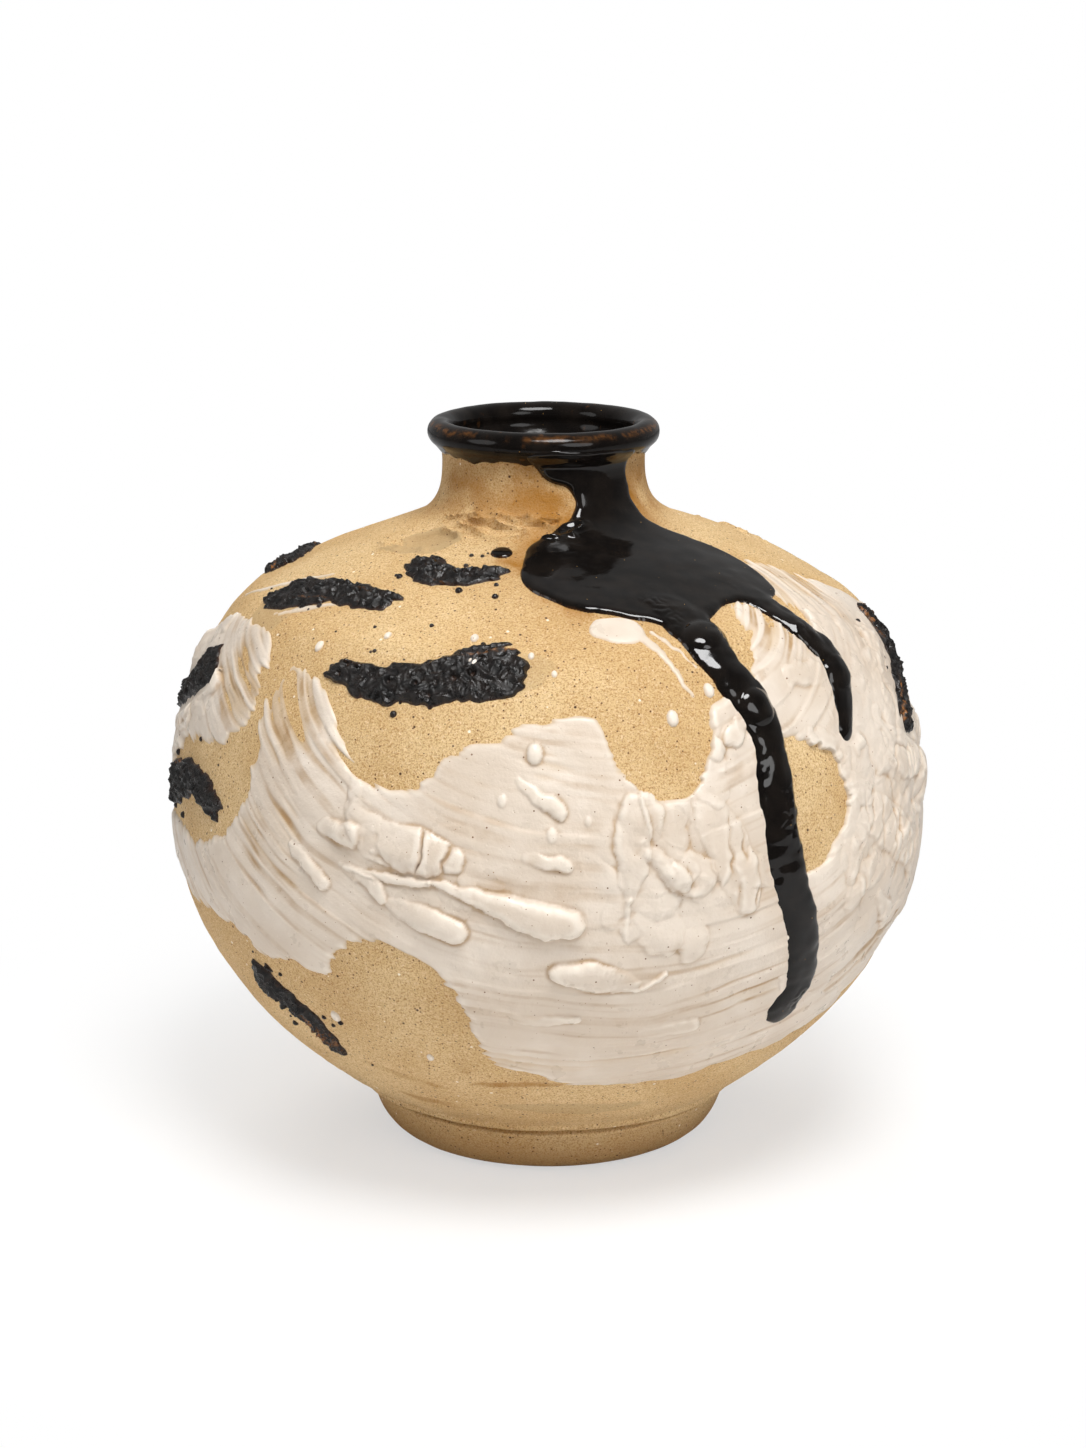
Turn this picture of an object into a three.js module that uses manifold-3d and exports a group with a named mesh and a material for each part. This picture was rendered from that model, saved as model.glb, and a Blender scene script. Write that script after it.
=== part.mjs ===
// Stoneware moon jar: two thrown bowls luted at the belly, on a foot ring and under a short neck,
// with a glazed mouth, a poured glaze, brushed slip, finger dabs and rough daubs lying on the wall.
// Millimetres, +Z up, origin at the middle of the foot on the table, front towards -Y.
import * as THREE from 'three';
import { ParametricGeometry } from 'three/addons/geometries/ParametricGeometry.js';
import { mergeVertices } from 'three/addons/utils/BufferGeometryUtils.js';
import Module from 'manifold-3d';

// Foot ring
const FOOT_HEIGHT = 20.2;
const FOOT_RADIUS = 61.5;
const FOOT_TOP_RADIUS = 73.2;
const FOOT_BORE_RADIUS = 49;
const FOOT_EDGE = 0.8;
const FOOT_BULGE = 2.4;
const FOOT_TAPER = 3.7;
const FOOT_GROOVE_DEPTH = 0.9;
const FOOT_GROOVE_DROP = 3.2;
const FOOT_GROOVE_WIDTH = 2.4;

// Body wall, with the reach of the curve handles that give it its swell
const WALL = 6.4;
const FLOOR = 8.6;
const FLOOR_FLAT_RADIUS = 60;
const FLOOR_COVE = 16;
const LEDGE_RADIUS = 80;
const LEDGE_ROUND = 3.5;
const LEDGE_SLOPE = 33.4;
const LEDGE_REACH = 67;
const LOWER_RISE = 105.5;
const BELLY_RADIUS = 150;
const BELLY_REACH_DOWN = 22;
const BELLY_REACH_UP = 67.7;
const UPPER_RISE = 93;
const SHOULDER_RADIUS = 116;
const SHOULDER_SLOPE = 29;
const SHOULDER_REACH_DOWN = 5;
const SHOULDER_REACH_UP = 62.4;

// Neck and rolled lip
const NECK_RISE = 50;
const NECK_RADIUS = 39.8;
const NECK_REACH = 31;
const NECK_SEAM_DROP = 17;
const LIP_RISE = 11.1;
const LIP_RADIUS = 40.4;
const LIP_ROLL = 4.2;

// Luted joints, coats and the small gaps that keep neighbours apart
const LUTE = 1.2;
const LUTE_BEAD = 1.4;
const SEAM_BEVEL = 2;
const SEAM_LAND = 4;
const CONTACT_GAP = 0.3;
const STROKE_GAP = 0.4;
const RIM_COAT = 0.7;
const THROAT_COAT_DROP = 9;
const POUR_THICKNESS = 1.5;
const RUN_THICKNESS = 2.4;
const SLIP_THICKNESS = 1.5;
const DAB_THICKNESS = 2.6;
const DAUB_THICKNESS = 3.2;

// Hand-made unevenness
const OVAL = 0.9;
const OVAL_BEARING = 35;
const LOBES = 0.7;
const LOBE_BEARING = 60;
const LOBE_TWIST = 0.9;
const NECK_LEAN = -1.6;

// Facet counts round the axis and along each stretch of the shape
const ROUND_COUNT = 40;
const FOOT_COUNT = 4;
const LEDGE_COUNT = 2;
const LOWER_COUNT = 8;
const LOWER_INSIDE_COUNT = 4;
const SHOULDER_COUNT = 7;
const ROOT_COUNT = 7;
const UPPER_INSIDE_COUNT = 6;
const COLLAR_COUNT = 3;
const FLARE_COUNT = 3;
const LIP_COUNT = 5;
const STROKE_ACROSS_COUNT = 4;
const DAB_COUNT = 6;
const DAUB_COUNT = 7;
const LONG_RUN_COUNT = 22;
const SHORT_RUN_COUNT = 10;
const POOL_ACROSS_COUNT = 6;
const POOL_ALONG_COUNT = 10;

// Heights of the joints, stacked up from the table
const undersideZ = FOOT_HEIGHT + LUTE + 2 * CONTACT_GAP;
const ledgeZ = undersideZ + LEDGE_ROUND;
const seamZ = ledgeZ + LOWER_RISE;
const shoulderZ = seamZ + UPPER_RISE;
const waistZ = shoulderZ + NECK_RISE;
const lipZ = waistZ + LIP_RISE;

const point = (radius, height) => new THREE.Vector2(radius, height);
const radians = THREE.MathUtils.degToRad;
const aimed = (from, degrees, reach) => {
  const angle = radians(degrees);
  return point(from.x + reach * Math.cos(angle), from.y + reach * Math.sin(angle));
};

// Outer wall from the ledge up to the waist of the neck, in three smooth curves
const ledge = point(LEDGE_RADIUS, ledgeZ);
const belly = point(BELLY_RADIUS, seamZ);
const shoulder = point(SHOULDER_RADIUS, shoulderZ);
const waist = point(NECK_RADIUS, waistZ);
const lowerCurve = new THREE.CubicBezierCurve(
  ledge,
  aimed(ledge, LEDGE_SLOPE, LEDGE_REACH),
  point(BELLY_RADIUS, seamZ - BELLY_REACH_DOWN),
  belly,
);
const upperCurve = new THREE.CubicBezierCurve(
  belly,
  point(BELLY_RADIUS, seamZ + BELLY_REACH_UP),
  aimed(shoulder, -SHOULDER_SLOPE, SHOULDER_REACH_DOWN),
  shoulder,
);
const shoulderCurve = new THREE.CubicBezierCurve(
  shoulder,
  aimed(shoulder, 180 - SHOULDER_SLOPE, SHOULDER_REACH_UP),
  point(NECK_RADIUS, waistZ - NECK_REACH),
  waist,
);
const wall = new THREE.CurvePath();
wall.add(lowerCurve);
wall.add(upperCurve);
wall.add(shoulderCurve);

// Lengths along the wall, measured up from the ledge
const seamAt = lowerCurve.getLength();
const shoulderAt = seamAt + upperCurve.getLength();
const neckAt = shoulderAt + shoulderCurve.getLength();
const neckSeamAt = neckAt - NECK_SEAM_DROP;

// Skin of the collar: flared neck, rolled lip, then the throat going down
const LIP_START = -50;
const LIP_END = 196;
const lipCentre = point(LIP_RADIUS, lipZ);
const lipArc = new THREE.EllipseCurve(
  lipCentre.x, lipCentre.y, LIP_ROLL, LIP_ROLL, radians(LIP_START), radians(LIP_END),
);
const lipOuter = aimed(lipCentre, LIP_START, LIP_ROLL);
const lipInner = aimed(lipCentre, LIP_END, LIP_ROLL);
const throat = point(NECK_RADIUS - WALL, waistZ);
const flareReach = LIP_RISE / 3;
const flareCurve = new THREE.CubicBezierCurve(
  waist,
  point(waist.x, waist.y + flareReach),
  aimed(lipOuter, LIP_START - 90, flareReach),
  lipOuter,
);
const throatCurve = new THREE.CubicBezierCurve(
  lipInner,
  aimed(lipInner, LIP_END + 90, flareReach),
  point(throat.x, throat.y + flareReach),
  throat,
);

// Point of a curve at a share of its length, moved out square to it
const offsetPoint = (curve, share, offset) => {
  const place = curve.getPointAt(share);
  const tangent = curve.getTangentAt(share);
  return point(place.x + offset * tangent.y, place.y - offset * tangent.x);
};
const wallPoint = (rise, offset = 0) => {
  const reached = THREE.MathUtils.clamp(rise, 0, neckAt);
  const onward = wall.getTangentAt(reached / neckAt).multiplyScalar(rise - reached);
  return offsetPoint(wall, reached / neckAt, offset).add(onward);
};
const stretch = (from, to, steps, placeAt) =>
  Array.from({ length: steps + 1 }, (_, step) => placeAt(from + ((to - from) * step) / steps));

// Facet lines up the wall, shared by the clay and by the coats that lie on it
const facetLines = (from, to, steps) => stretch(from, to, steps, (rise) => rise).slice(1);
const lowerLines = facetLines(0, seamAt, LOWER_COUNT);
const shoulderLines = facetLines(seamAt, shoulderAt, SHOULDER_COUNT);
const rootLines = facetLines(shoulderAt, neckSeamAt, ROOT_COUNT);
const collarLines = facetLines(neckSeamAt, neckAt, COLLAR_COUNT);

// The hand-made shape: slightly oval and lobed, with a neck that leans
const handmade = (bearing, radius, height, target) => {
  const oval = OVAL * Math.cos(2 * (bearing - radians(OVAL_BEARING)));
  const twist = (LOBE_TWIST * height) / shoulderZ;
  const lobes = LOBES * Math.cos(3 * (bearing - radians(LOBE_BEARING)) + twist);
  const shaped = radius * (1 + (oval + lobes) / BELLY_RADIUS);
  const lean = NECK_LEAN * THREE.MathUtils.smoothstep(height, shoulderZ, waistZ);
  return target.set(shaped * Math.sin(bearing) + lean, -shaped * Math.cos(bearing), height);
};

// Turned piece: a closed profile spun round the axis, then shaped by hand
const turned = (profile) => {
  const geometry = new THREE.LatheGeometry(profile, ROUND_COUNT);
  const places = geometry.attributes.position;
  const vertex = new THREE.Vector3();
  for (let index = 0; index < places.count; index += 1) {
    const bearing = Math.atan2(places.getX(index), places.getZ(index));
    const radius = Math.hypot(places.getX(index), places.getZ(index));
    handmade(bearing, radius, places.getY(index), vertex);
    places.setXYZ(index, vertex.x, vertex.y, vertex.z);
  }
  return geometry;
};
const closed = (profile) => [...profile, profile[0]];

// Place on the outside of the jar: bearing in degrees from the front, rise along the wall
const onWall = (bearing, rise, offset, target) => {
  const place = wallPoint(rise, offset);
  return handmade(radians(bearing), place.x, place.y, target);
};

// Raised body lying on the wall: a crowned top from side to side, then back along a bottom that
// follows the wall. It thins away at both ends, where top and bottom meet.
const raised = (lay, thickness, base, across, along) =>
  new ParametricGeometry((turn, share, target) => {
    const side = turn <= 0.5 ? 4 * turn - 1 : 3 - 4 * turn;
    const swell = Math.sqrt(Math.max(0, Math.sin(Math.PI * share)));
    const crown = turn < 0.5 ? Math.sqrt(Math.max(0, 1 - side ** 4)) : 0;
    const { bearing, rise } = lay(share, side, swell);
    onWall(bearing, rise, base + thickness(share) * crown * swell, target);
  }, 2 * across, along);

// Brush stroke along a path of [bearing, rise] points, with a half width at each end
const stroke = ({ path, from, to, thickness, base }, across, along) => {
  const spine = new THREE.SplineCurve(path.map(([bearing, rise]) => point(bearing, rise)));
  const lay = (share, side, swell) => {
    const eased = (1 - Math.cos(Math.PI * share)) / 2;
    const place = spine.getPoint(eased);
    const tangent = spine.getTangent(eased);
    const perDegree = radians(1) * wallPoint(place.y).x;
    const heading = point(tangent.x * perDegree, tangent.y).normalize();
    const reach = side * swell * THREE.MathUtils.lerp(from, to, eased);
    return {
      bearing: place.x + (reach * heading.y) / perDegree,
      rise: place.y - reach * heading.x,
    };
  };
  return raised(lay, thickness, base, across, along);
};

// Sheet round the jar through [bearing, low, high] spans, thinning to an edge at both ends
const sheet = ({ spans, thickness, base }, across, along) => {
  const first = spans[0][0];
  const last = spans.at(-1)[0];
  const lay = (share, side) => {
    const bearing = THREE.MathUtils.lerp(first, last, share);
    const index = Math.max(1, spans.findIndex((span) => span[0] >= bearing));
    const [before, after] = [spans[index - 1], spans[index]];
    const mix = THREE.MathUtils.smoothstep(bearing, before[0], after[0]);
    const low = THREE.MathUtils.lerp(before[1], after[1], mix);
    const high = THREE.MathUtils.lerp(before[2], after[2], mix);
    return { bearing, rise: (low + high) / 2 - (side * (high - low)) / 2 };
  };
  return raised(lay, () => thickness, base, across, along);
};

// Joining of solids that share a wall
const wasm = await Module();
wasm.setup();
const solidOf = (geometry) => {
  const bare = geometry.clone();
  bare.deleteAttribute('normal');
  bare.deleteAttribute('uv');
  const merged = mergeVertices(bare, 1e-3);
  const corners = Array.from(merged.index.array);
  const triVerts = [];
  for (let index = 0; index < corners.length; index += 3) {
    const [a, b, c] = corners.slice(index, index + 3);
    if (a !== b && b !== c && c !== a) triVerts.push(a, b, c);
  }
  return new wasm.Manifold(new wasm.Mesh({
    numProp: 3,
    vertProperties: new Float32Array(merged.attributes.position.array),
    triVerts: new Uint32Array(triVerts),
  }));
};
const geometryOf = (solid) => {
  const mesh = solid.getMesh();
  const geometry = new THREE.BufferGeometry();
  geometry.setAttribute('position', new THREE.BufferAttribute(mesh.vertProperties, 3));
  geometry.setIndex(new THREE.BufferAttribute(mesh.triVerts, 1));
  geometry.computeVertexNormals();
  return geometry;
};

// Coat of an even thickness over the wall, trimmed to a sheet's outline
const OUTLINE_DEPTH = 14;
const trimmedCoat = (spans, thickness, across, along) => {
  const lines = [0, ...lowerLines, ...shoulderLines, ...rootLines, ...collarLines.slice(0, -1)];
  const skin = (offset) => [...lines, neckAt - CONTACT_GAP].map((rise) => wallPoint(rise, offset));
  const coat = turned(closed([...skin(CONTACT_GAP + thickness), ...skin(CONTACT_GAP).reverse()]));
  const outline = sheet({ spans, thickness: 2 * OUTLINE_DEPTH, base: -OUTLINE_DEPTH }, across, along);
  return solidOf(coat).intersect(solidOf(outline));
};

// Finishes
const finish = (color, roughness) => new THREE.MeshStandardMaterial({ color, roughness, metalness: 0 });
const clay = finish(0xb99b78, 0.85);
const luteClay = finish(0xc4aa88, 0.9);
const glaze = finish(0x15110f, 0.15);
const slip = finish(0xe4dacd, 0.5);
const crust = finish(0x1d1814, 0.75);

const jar = new THREE.Group();
const add = (name, geometry, material) => {
  const mesh = new THREE.Mesh(geometry, material);
  mesh.name = name;
  jar.add(mesh);
};

// Foot ring, with a turned groove under its top edge
const footRing = () => {
  const grooveZ = FOOT_HEIGHT - FOOT_GROOVE_DROP;
  const grooveRadius = FOOT_TOP_RADIUS - FOOT_GROOVE_DEPTH;
  const foot = new THREE.QuadraticBezierCurve(
    point(FOOT_RADIUS, FOOT_EDGE),
    point(FOOT_TOP_RADIUS - FOOT_TAPER, FOOT_BULGE),
    point(FOOT_TOP_RADIUS, grooveZ - FOOT_GROOVE_WIDTH / 2),
  );
  return turned(closed([
    point(FOOT_BORE_RADIUS + FOOT_EDGE, 0),
    point(FOOT_RADIUS - FOOT_EDGE, 0),
    ...foot.getPoints(FOOT_COUNT),
    point(grooveRadius, grooveZ),
    point(FOOT_TOP_RADIUS, grooveZ + FOOT_GROOVE_WIDTH / 2),
    point(FOOT_TOP_RADIUS, FOOT_HEIGHT),
    point(FOOT_BORE_RADIUS, FOOT_HEIGHT),
    point(FOOT_BORE_RADIUS, FOOT_EDGE),
  ]));
};

// Joining slip between two flat faces of the foot joint, with a bead squeezed out on both sides
const footLute = () => {
  const lowZ = FOOT_HEIGHT + CONTACT_GAP;
  return turned(closed([
    point(FOOT_BORE_RADIUS, lowZ),
    point(FOOT_TOP_RADIUS, lowZ),
    point(FOOT_TOP_RADIUS + LUTE_BEAD, lowZ + LUTE / 2),
    point(FOOT_TOP_RADIUS, lowZ + LUTE),
    point(FOOT_BORE_RADIUS, lowZ + LUTE),
    point(FOOT_BORE_RADIUS - LUTE_BEAD, lowZ + LUTE / 2),
  ]));
};

// Bevelled faces of the belly seam, at a height above or below its middle
const seamOuter = (lift) => point(BELLY_RADIUS, seamZ + lift);
const seamInner = (lift) => point(BELLY_RADIUS - WALL, seamZ + SEAM_BEVEL + lift);
const seamHalf = LUTE / 2 + CONTACT_GAP;

// Lower bowl: flat underside, rounded ledge, swelling wall, bevelled rim and coved floor
const lowerBowl = () => {
  const floorZ = undersideZ + FLOOR;
  const ledgeArc = new THREE.QuadraticBezierCurve(
    point(LEDGE_RADIUS - LEDGE_ROUND, undersideZ),
    point(LEDGE_RADIUS, undersideZ),
    ledge,
  );
  const outside = lowerLines.slice(0, -1).map((rise) => wallPoint(rise));
  const insideFrom = seamAt - SEAM_LAND;
  const inside = stretch(insideFrom, FLOOR_COVE, LOWER_INSIDE_COUNT, (rise) => wallPoint(rise, -WALL));
  return turned([
    point(0, undersideZ),
    ...ledgeArc.getPoints(LEDGE_COUNT),
    ...outside,
    seamOuter(-seamHalf),
    seamInner(-seamHalf),
    ...inside,
    point(FLOOR_FLAT_RADIUS, floorZ),
    point(0, floorZ),
  ]);
};

const equatorLute = () => {
  const inner = seamInner(0);
  return turned(closed([
    seamOuter(-LUTE / 2),
    seamOuter(LUTE / 2),
    seamInner(LUTE / 2),
    point(inner.x - LUTE_BEAD, inner.y),
    seamInner(-LUTE / 2),
  ]));
};

// Upper bowl: bevelled rim on the belly seam, swelling wall, shoulder break and neck root
const upperBowl = () => {
  const topAt = neckSeamAt - LUTE / 2 - CONTACT_GAP;
  const insideTo = seamAt + SEAM_BEVEL + SEAM_LAND;
  const outside = [...shoulderLines, ...rootLines.slice(0, -1), topAt];
  const inside = stretch(topAt, insideTo, UPPER_INSIDE_COUNT, (rise) => wallPoint(rise, -WALL));
  return turned(closed([
    seamOuter(seamHalf),
    ...outside.map((rise) => wallPoint(rise)),
    ...inside,
    seamInner(seamHalf),
  ]));
};

const neckLute = () => {
  const lowAt = neckSeamAt - LUTE / 2;
  const highAt = neckSeamAt + LUTE / 2;
  return turned(closed([
    wallPoint(lowAt),
    wallPoint(highAt),
    wallPoint(highAt, -WALL),
    wallPoint(neckSeamAt, -WALL - LUTE_BEAD),
    wallPoint(lowAt, -WALL),
  ]));
};

// Skin of the collar at an offset: up the flare, over the lip and down the throat
const collarSkin = (offset) => [
  ...stretch(0, 1, FLARE_COUNT, (share) => offsetPoint(flareCurve, share, offset)),
  ...stretch(0, 1, LIP_COUNT, (share) => offsetPoint(lipArc, share, offset)).slice(1),
  ...stretch(0, 1, FLARE_COUNT, (share) => offsetPoint(throatCurve, share, offset)).slice(1),
  wallPoint(neckAt - THROAT_COAT_DROP, -WALL - offset),
];

// Collar: neck root, waist, flare, rolled lip and throat
const neckCollar = () => {
  const lowAt = neckSeamAt + LUTE / 2 + CONTACT_GAP;
  const root = [lowAt, ...collarLines.slice(0, -1)].map((rise) => wallPoint(rise));
  return turned(closed([...root, ...collarSkin(0), wallPoint(lowAt, -WALL)]));
};

// Glaze coat over the flare, the lip and the throat
const rimGlaze = () =>
  turned(closed([...collarSkin(CONTACT_GAP + RIM_COAT), ...collarSkin(CONTACT_GAP).reverse()]));

// Poured glaze: a pool on the shoulder that meets the mouth's coat, a long run and a short run.
// Places are given as [bearing, fall below the waist of the neck].
const POOL_SPANS = [
  [-8, 54, 36], [-3, 62, 33], [5, 74, 26], [14, 78, 8], [24, 84, -6], [36, 84, -8],
  [46, 82, -8], [54, 76, 2], [60, 64, 22], [65, 56, 34],
];
const LONG_RUN = [[27, 66], [30, 109], [33, 133], [34, 166], [36, 201], [40, 227], [39, 249]];
const SHORT_RUN = [[47, 66], [50, 95], [53, 119], [50, 143]];
const LONG_RUN_HALF_WIDTHS = { from: 7, to: 9.5 };
const SHORT_RUN_HALF_WIDTHS = { from: 6, to: 7 };
const RUN_BEAD = 1.4;
const glazePour = () => {
  const fromNeck = ([bearing, ...falls]) => [bearing, ...falls.map((fall) => neckAt - fall)];
  const runThickness = (share) => RUN_THICKNESS + RUN_BEAD * share ** 3;
  const run = (path, halfWidths, along) => solidOf(stroke(
    { path: path.map(fromNeck), ...halfWidths, thickness: runThickness, base: STROKE_GAP },
    STROKE_ACROSS_COUNT,
    along,
  ));
  const spans = POOL_SPANS.map(fromNeck);
  const pool = trimmedCoat(spans, POUR_THICKNESS, POOL_ACROSS_COUNT, POOL_ALONG_COUNT);
  const longRun = run(LONG_RUN, LONG_RUN_HALF_WIDTHS, LONG_RUN_COUNT);
  const shortRun = run(SHORT_RUN, SHORT_RUN_HALF_WIDTHS, SHORT_RUN_COUNT);
  return geometryOf(pool.add(longRun).add(shortRun));
};

// Brushed slip, as [bearing, low, high] spans measured up from the belly seam
const SLIP_SPANS = {
  slip_front: [
    [-84, -8, 3], [-77, -14, 6], [-68, -19, 6], [-60, -19, 9], [-54, -23, 18], [-50, -26, 62],
    [-46, -30, 80], [-41, -27, 80], [-33, -23, 61], [-28, -11, 51], [-22, -11, 47], [-16, -19, 56],
    [-9, -60, 66], [-2, -73, 73], [6, -80, 77], [11, -82, 55], [16, -83, 46], [22, -83, 56],
    [26, -74, 42], [28.5, -62, 22],
  ],
  slip_hem: [[30, -80, -68], [35, -83, -64], [43, -81, -62], [51, -75, -57], [56, -68, -60]],
  slip_right: [
    [48, -44, 24], [52, -55, 40], [56.5, -54, 46], [60, -51, 110], [64, -45, 136], [70, -37, 132],
    [76, -27, 119], [82, -21, 101], [88, -17, 85], [96, -13, 62], [104, -6, 46], [111, 8, 32],
  ],
  slip_back_a: [
    [120, -20, 22], [130, -35, 49], [142, -47, 67], [155, -55, 59], [168, -39, 73], [176, -21, 51],
    [181, -14, 32],
  ],
  slip_back_b: [
    [187, -22, 24], [196, -39, 45], [208, -61, 59], [220, -47, 75], [232, -27, 55], [241, -10, 36],
  ],
  slip_left: [
    [-116, 8, 24], [-108, 0, 48], [-98, 1, 64], [-90, 12, 75], [-82, 27, 85], [-75, 39, 92],
    [-68, 45, 94], [-61, 47, 93], [-56, 54, 86], [-53, 62, 74],
  ],
};
const SLIP_COLUMN = 8;
const SLIP_ROW = 20;
const SLIP_EDGE_ROWS = 2;
const fromSeam = ([bearing, ...lifts]) => [bearing, ...lifts.map((lift) => seamAt + lift)];
const slipSheet = (spans) => {
  const sweep = spans.at(-1)[0] - spans[0][0];
  const tallest = Math.max(...spans.map(([, low, high]) => high - low));
  return geometryOf(trimmedCoat(
    spans.map(fromSeam),
    SLIP_THICKNESS,
    Math.ceil(tallest / SLIP_ROW) + SLIP_EDGE_ROWS,
    Math.ceil(sweep / SLIP_COLUMN),
  ));
};

// Short strokes on bare clay or on top of the slip, as [bearing, lift above the belly seam]
const ON_CLAY = STROKE_GAP;
const ON_SLIP = CONTACT_GAP + SLIP_THICKNESS + STROKE_GAP;
const DAB_STROKES = [
  { path: [[-27, 23], [-17, 29]], from: 9, to: 7 },
  { path: [[-5, 9], [5, 2]], from: 9, to: 8 },
  { path: [[1, -21], [11, -15]], from: 10, to: 7 },
  { path: [[9, 34], [13, 17]], from: 8, to: 9 },
  { path: [[14, -52], [21, -44]], from: 7, to: 6 },
  { path: [[-4, 52], [2, 43]], from: 6, to: 7 },
  { path: [[70, 20], [77, 26]], from: 9, to: 7 },
  { path: [[-105, 20], [-98, 27]], from: 8, to: 9 },
  { path: [[168, 6], [176, 13]], from: 8, to: 9 },
  { path: [[204, 14], [213, 8]], from: 9, to: 7 },
];
const DAUB_STROKES = [
  { path: [[-66, 112], [-53, 122], [-38, 122]], from: 10, to: 4.5, base: ON_CLAY },
  { path: [[-37, 87], [-24, 85], [-9, 94]], from: 4.5, to: 10.5, base: ON_CLAY },
  { path: [[-79, 19], [-67, 29], [-58, 25]], from: 9, to: 4.5, base: ON_CLAY },
  { path: [[-37, 146], [-26, 142], [-16, 147]], from: 7, to: 4, base: ON_CLAY },
  { path: [[-50, -44], [-44, -56], [-41, -74]], from: 8.5, to: 4, base: ON_CLAY },
  { path: [[-90, 48], [-82, 56], [-73, 70]], from: 5, to: 8.5, base: ON_SLIP },
  { path: [[72, 54], [78, 70], [80, 90]], from: 9, to: 4.5, base: ON_SLIP },
  { path: [[136, 90], [150, 99], [164, 94]], from: 4.5, to: 10, base: ON_CLAY },
  { path: [[216, 120], [202, 112], [191, 96]], from: 9.5, to: 4.5, base: ON_CLAY },
  { path: [[-102, 112], [-117, 106], [-128, 90]], from: 9.5, to: 4.5, base: ON_CLAY },
];
const shortStroke = ({ path, from, to }, thickness, base, along) => stroke(
  { path: path.map(fromSeam), from, to, thickness: () => thickness, base },
  STROKE_ACROSS_COUNT,
  along,
);

// Assembly, from the table up
add('foot_ring', footRing(), clay);
add('foot_lute', footLute(), luteClay);
add('lower_bowl', lowerBowl(), clay);
add('equator_lute', equatorLute(), luteClay);
add('upper_bowl', upperBowl(), clay);
add('neck_lute', neckLute(), luteClay);
add('neck_collar', neckCollar(), clay);
add('rim_glaze', rimGlaze(), glaze);
add('glaze_pour', glazePour(), glaze);
for (const [name, spans] of Object.entries(SLIP_SPANS)) {
  add(name, slipSheet(spans), slip);
}
DAB_STROKES.forEach((dab, index) => {
  add(`slip_dab_${index + 1}`, shortStroke(dab, DAB_THICKNESS, ON_SLIP, DAB_COUNT), slip);
});
DAUB_STROKES.forEach((daub, index) => {
  add(`daub_${index + 1}`, shortStroke(daub, DAUB_THICKNESS, daub.base, DAUB_COUNT), crust);
});

export default jar;
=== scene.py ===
import itertools
import math
from collections import namedtuple

import bpy
import numpy as np
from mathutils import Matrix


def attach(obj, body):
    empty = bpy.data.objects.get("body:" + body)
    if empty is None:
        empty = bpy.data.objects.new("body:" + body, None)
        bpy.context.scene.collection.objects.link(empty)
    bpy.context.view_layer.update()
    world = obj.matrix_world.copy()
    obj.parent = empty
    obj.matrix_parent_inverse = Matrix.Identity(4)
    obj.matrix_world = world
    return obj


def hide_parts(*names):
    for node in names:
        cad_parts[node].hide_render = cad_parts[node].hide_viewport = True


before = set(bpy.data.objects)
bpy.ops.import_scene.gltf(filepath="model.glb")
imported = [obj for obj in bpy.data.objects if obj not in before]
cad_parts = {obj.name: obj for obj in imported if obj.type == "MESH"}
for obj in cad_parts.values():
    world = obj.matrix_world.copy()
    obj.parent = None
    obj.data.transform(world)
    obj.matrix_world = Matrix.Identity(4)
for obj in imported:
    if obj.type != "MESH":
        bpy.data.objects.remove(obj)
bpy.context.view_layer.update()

# Foot ring
FOOT_HEIGHT = 20.2
FOOT_RADIUS = 61.5
FOOT_TOP_RADIUS = 73.2
FOOT_BORE_RADIUS = 49.0
FOOT_EDGE = 0.8
FOOT_BULGE = 2.4
FOOT_TAPER = 3.7
FOOT_INNER_EDGE = 1.6
FOOT_FLAT_INSET = 2.0
FOOT_TUCK = 2.0
# Ridge of the foot and the groove over it, as curves of (offset from the top radius, height)
FOOT_RIDGE = [
    [(-0.4, 16.4), (0.9, 18.2), (0.7, 18.9)],
    [(0.7, 18.9), (0.4, 19.6), (-0.9, 20.0)],
    [(-0.9, 20.0), (-1.5, 20.8), (-1.3, 22.6)],
]

# Body wall and the reach of its curve handles
WALL = 6.4
UNDERSIDE = 22.0
FLOOR = 30.6
COVE_RISE = 16.0
LEDGE_RADIUS = 80.0
LEDGE_ROUND = 3.5
LEDGE_SLOPE = 33.4
LEDGE_REACH = 67.0
SEAM_HEIGHT = 131.0
SEAM_RISE = 131.3
BELLY_RADIUS = 150.0
BELLY_REACH_DOWN = 22.0
BELLY_REACH_UP = 67.7
SHOULDER_HEIGHT = 224.0
SHOULDER_RADIUS = 116.0
SHOULDER_SLOPE = 29.0
SHOULDER_REACH_DOWN = 5.0
SHOULDER_REACH_UP = 62.4

# Neck and rolled lip
WAIST_HEIGHT = 274.0
NECK_RADIUS = 39.8
NECK_REACH = 31.0
NECK_SEAM_DROP = 17.0
LIP_HEIGHT = 285.1
LIP_RADIUS = 40.4
LIP_ROLL = 4.2
LIP_START = -50.0
LIP_END = 196.0
FLARE_REACH = 3.7
THROAT_DEPTH = 26.0

# Hand-made unevenness
OVAL = 0.9
OVAL_BEARING = 35.0
LOBES = 0.7
LOBE_BEARING = 60.0
LOBE_TWIST = 0.9
NECK_LEAN = -1.6

# Mesh steps
COLUMNS = 640
ROW = 0.8
COAT_STEP = 0.5
DAUB_STEP = 0.36
SUNK = -0.7
BOTTOM = -1.5
SHARP_ANGLE = 50
MILLIMETRE = 0.001
FAR = 1e9

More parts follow.
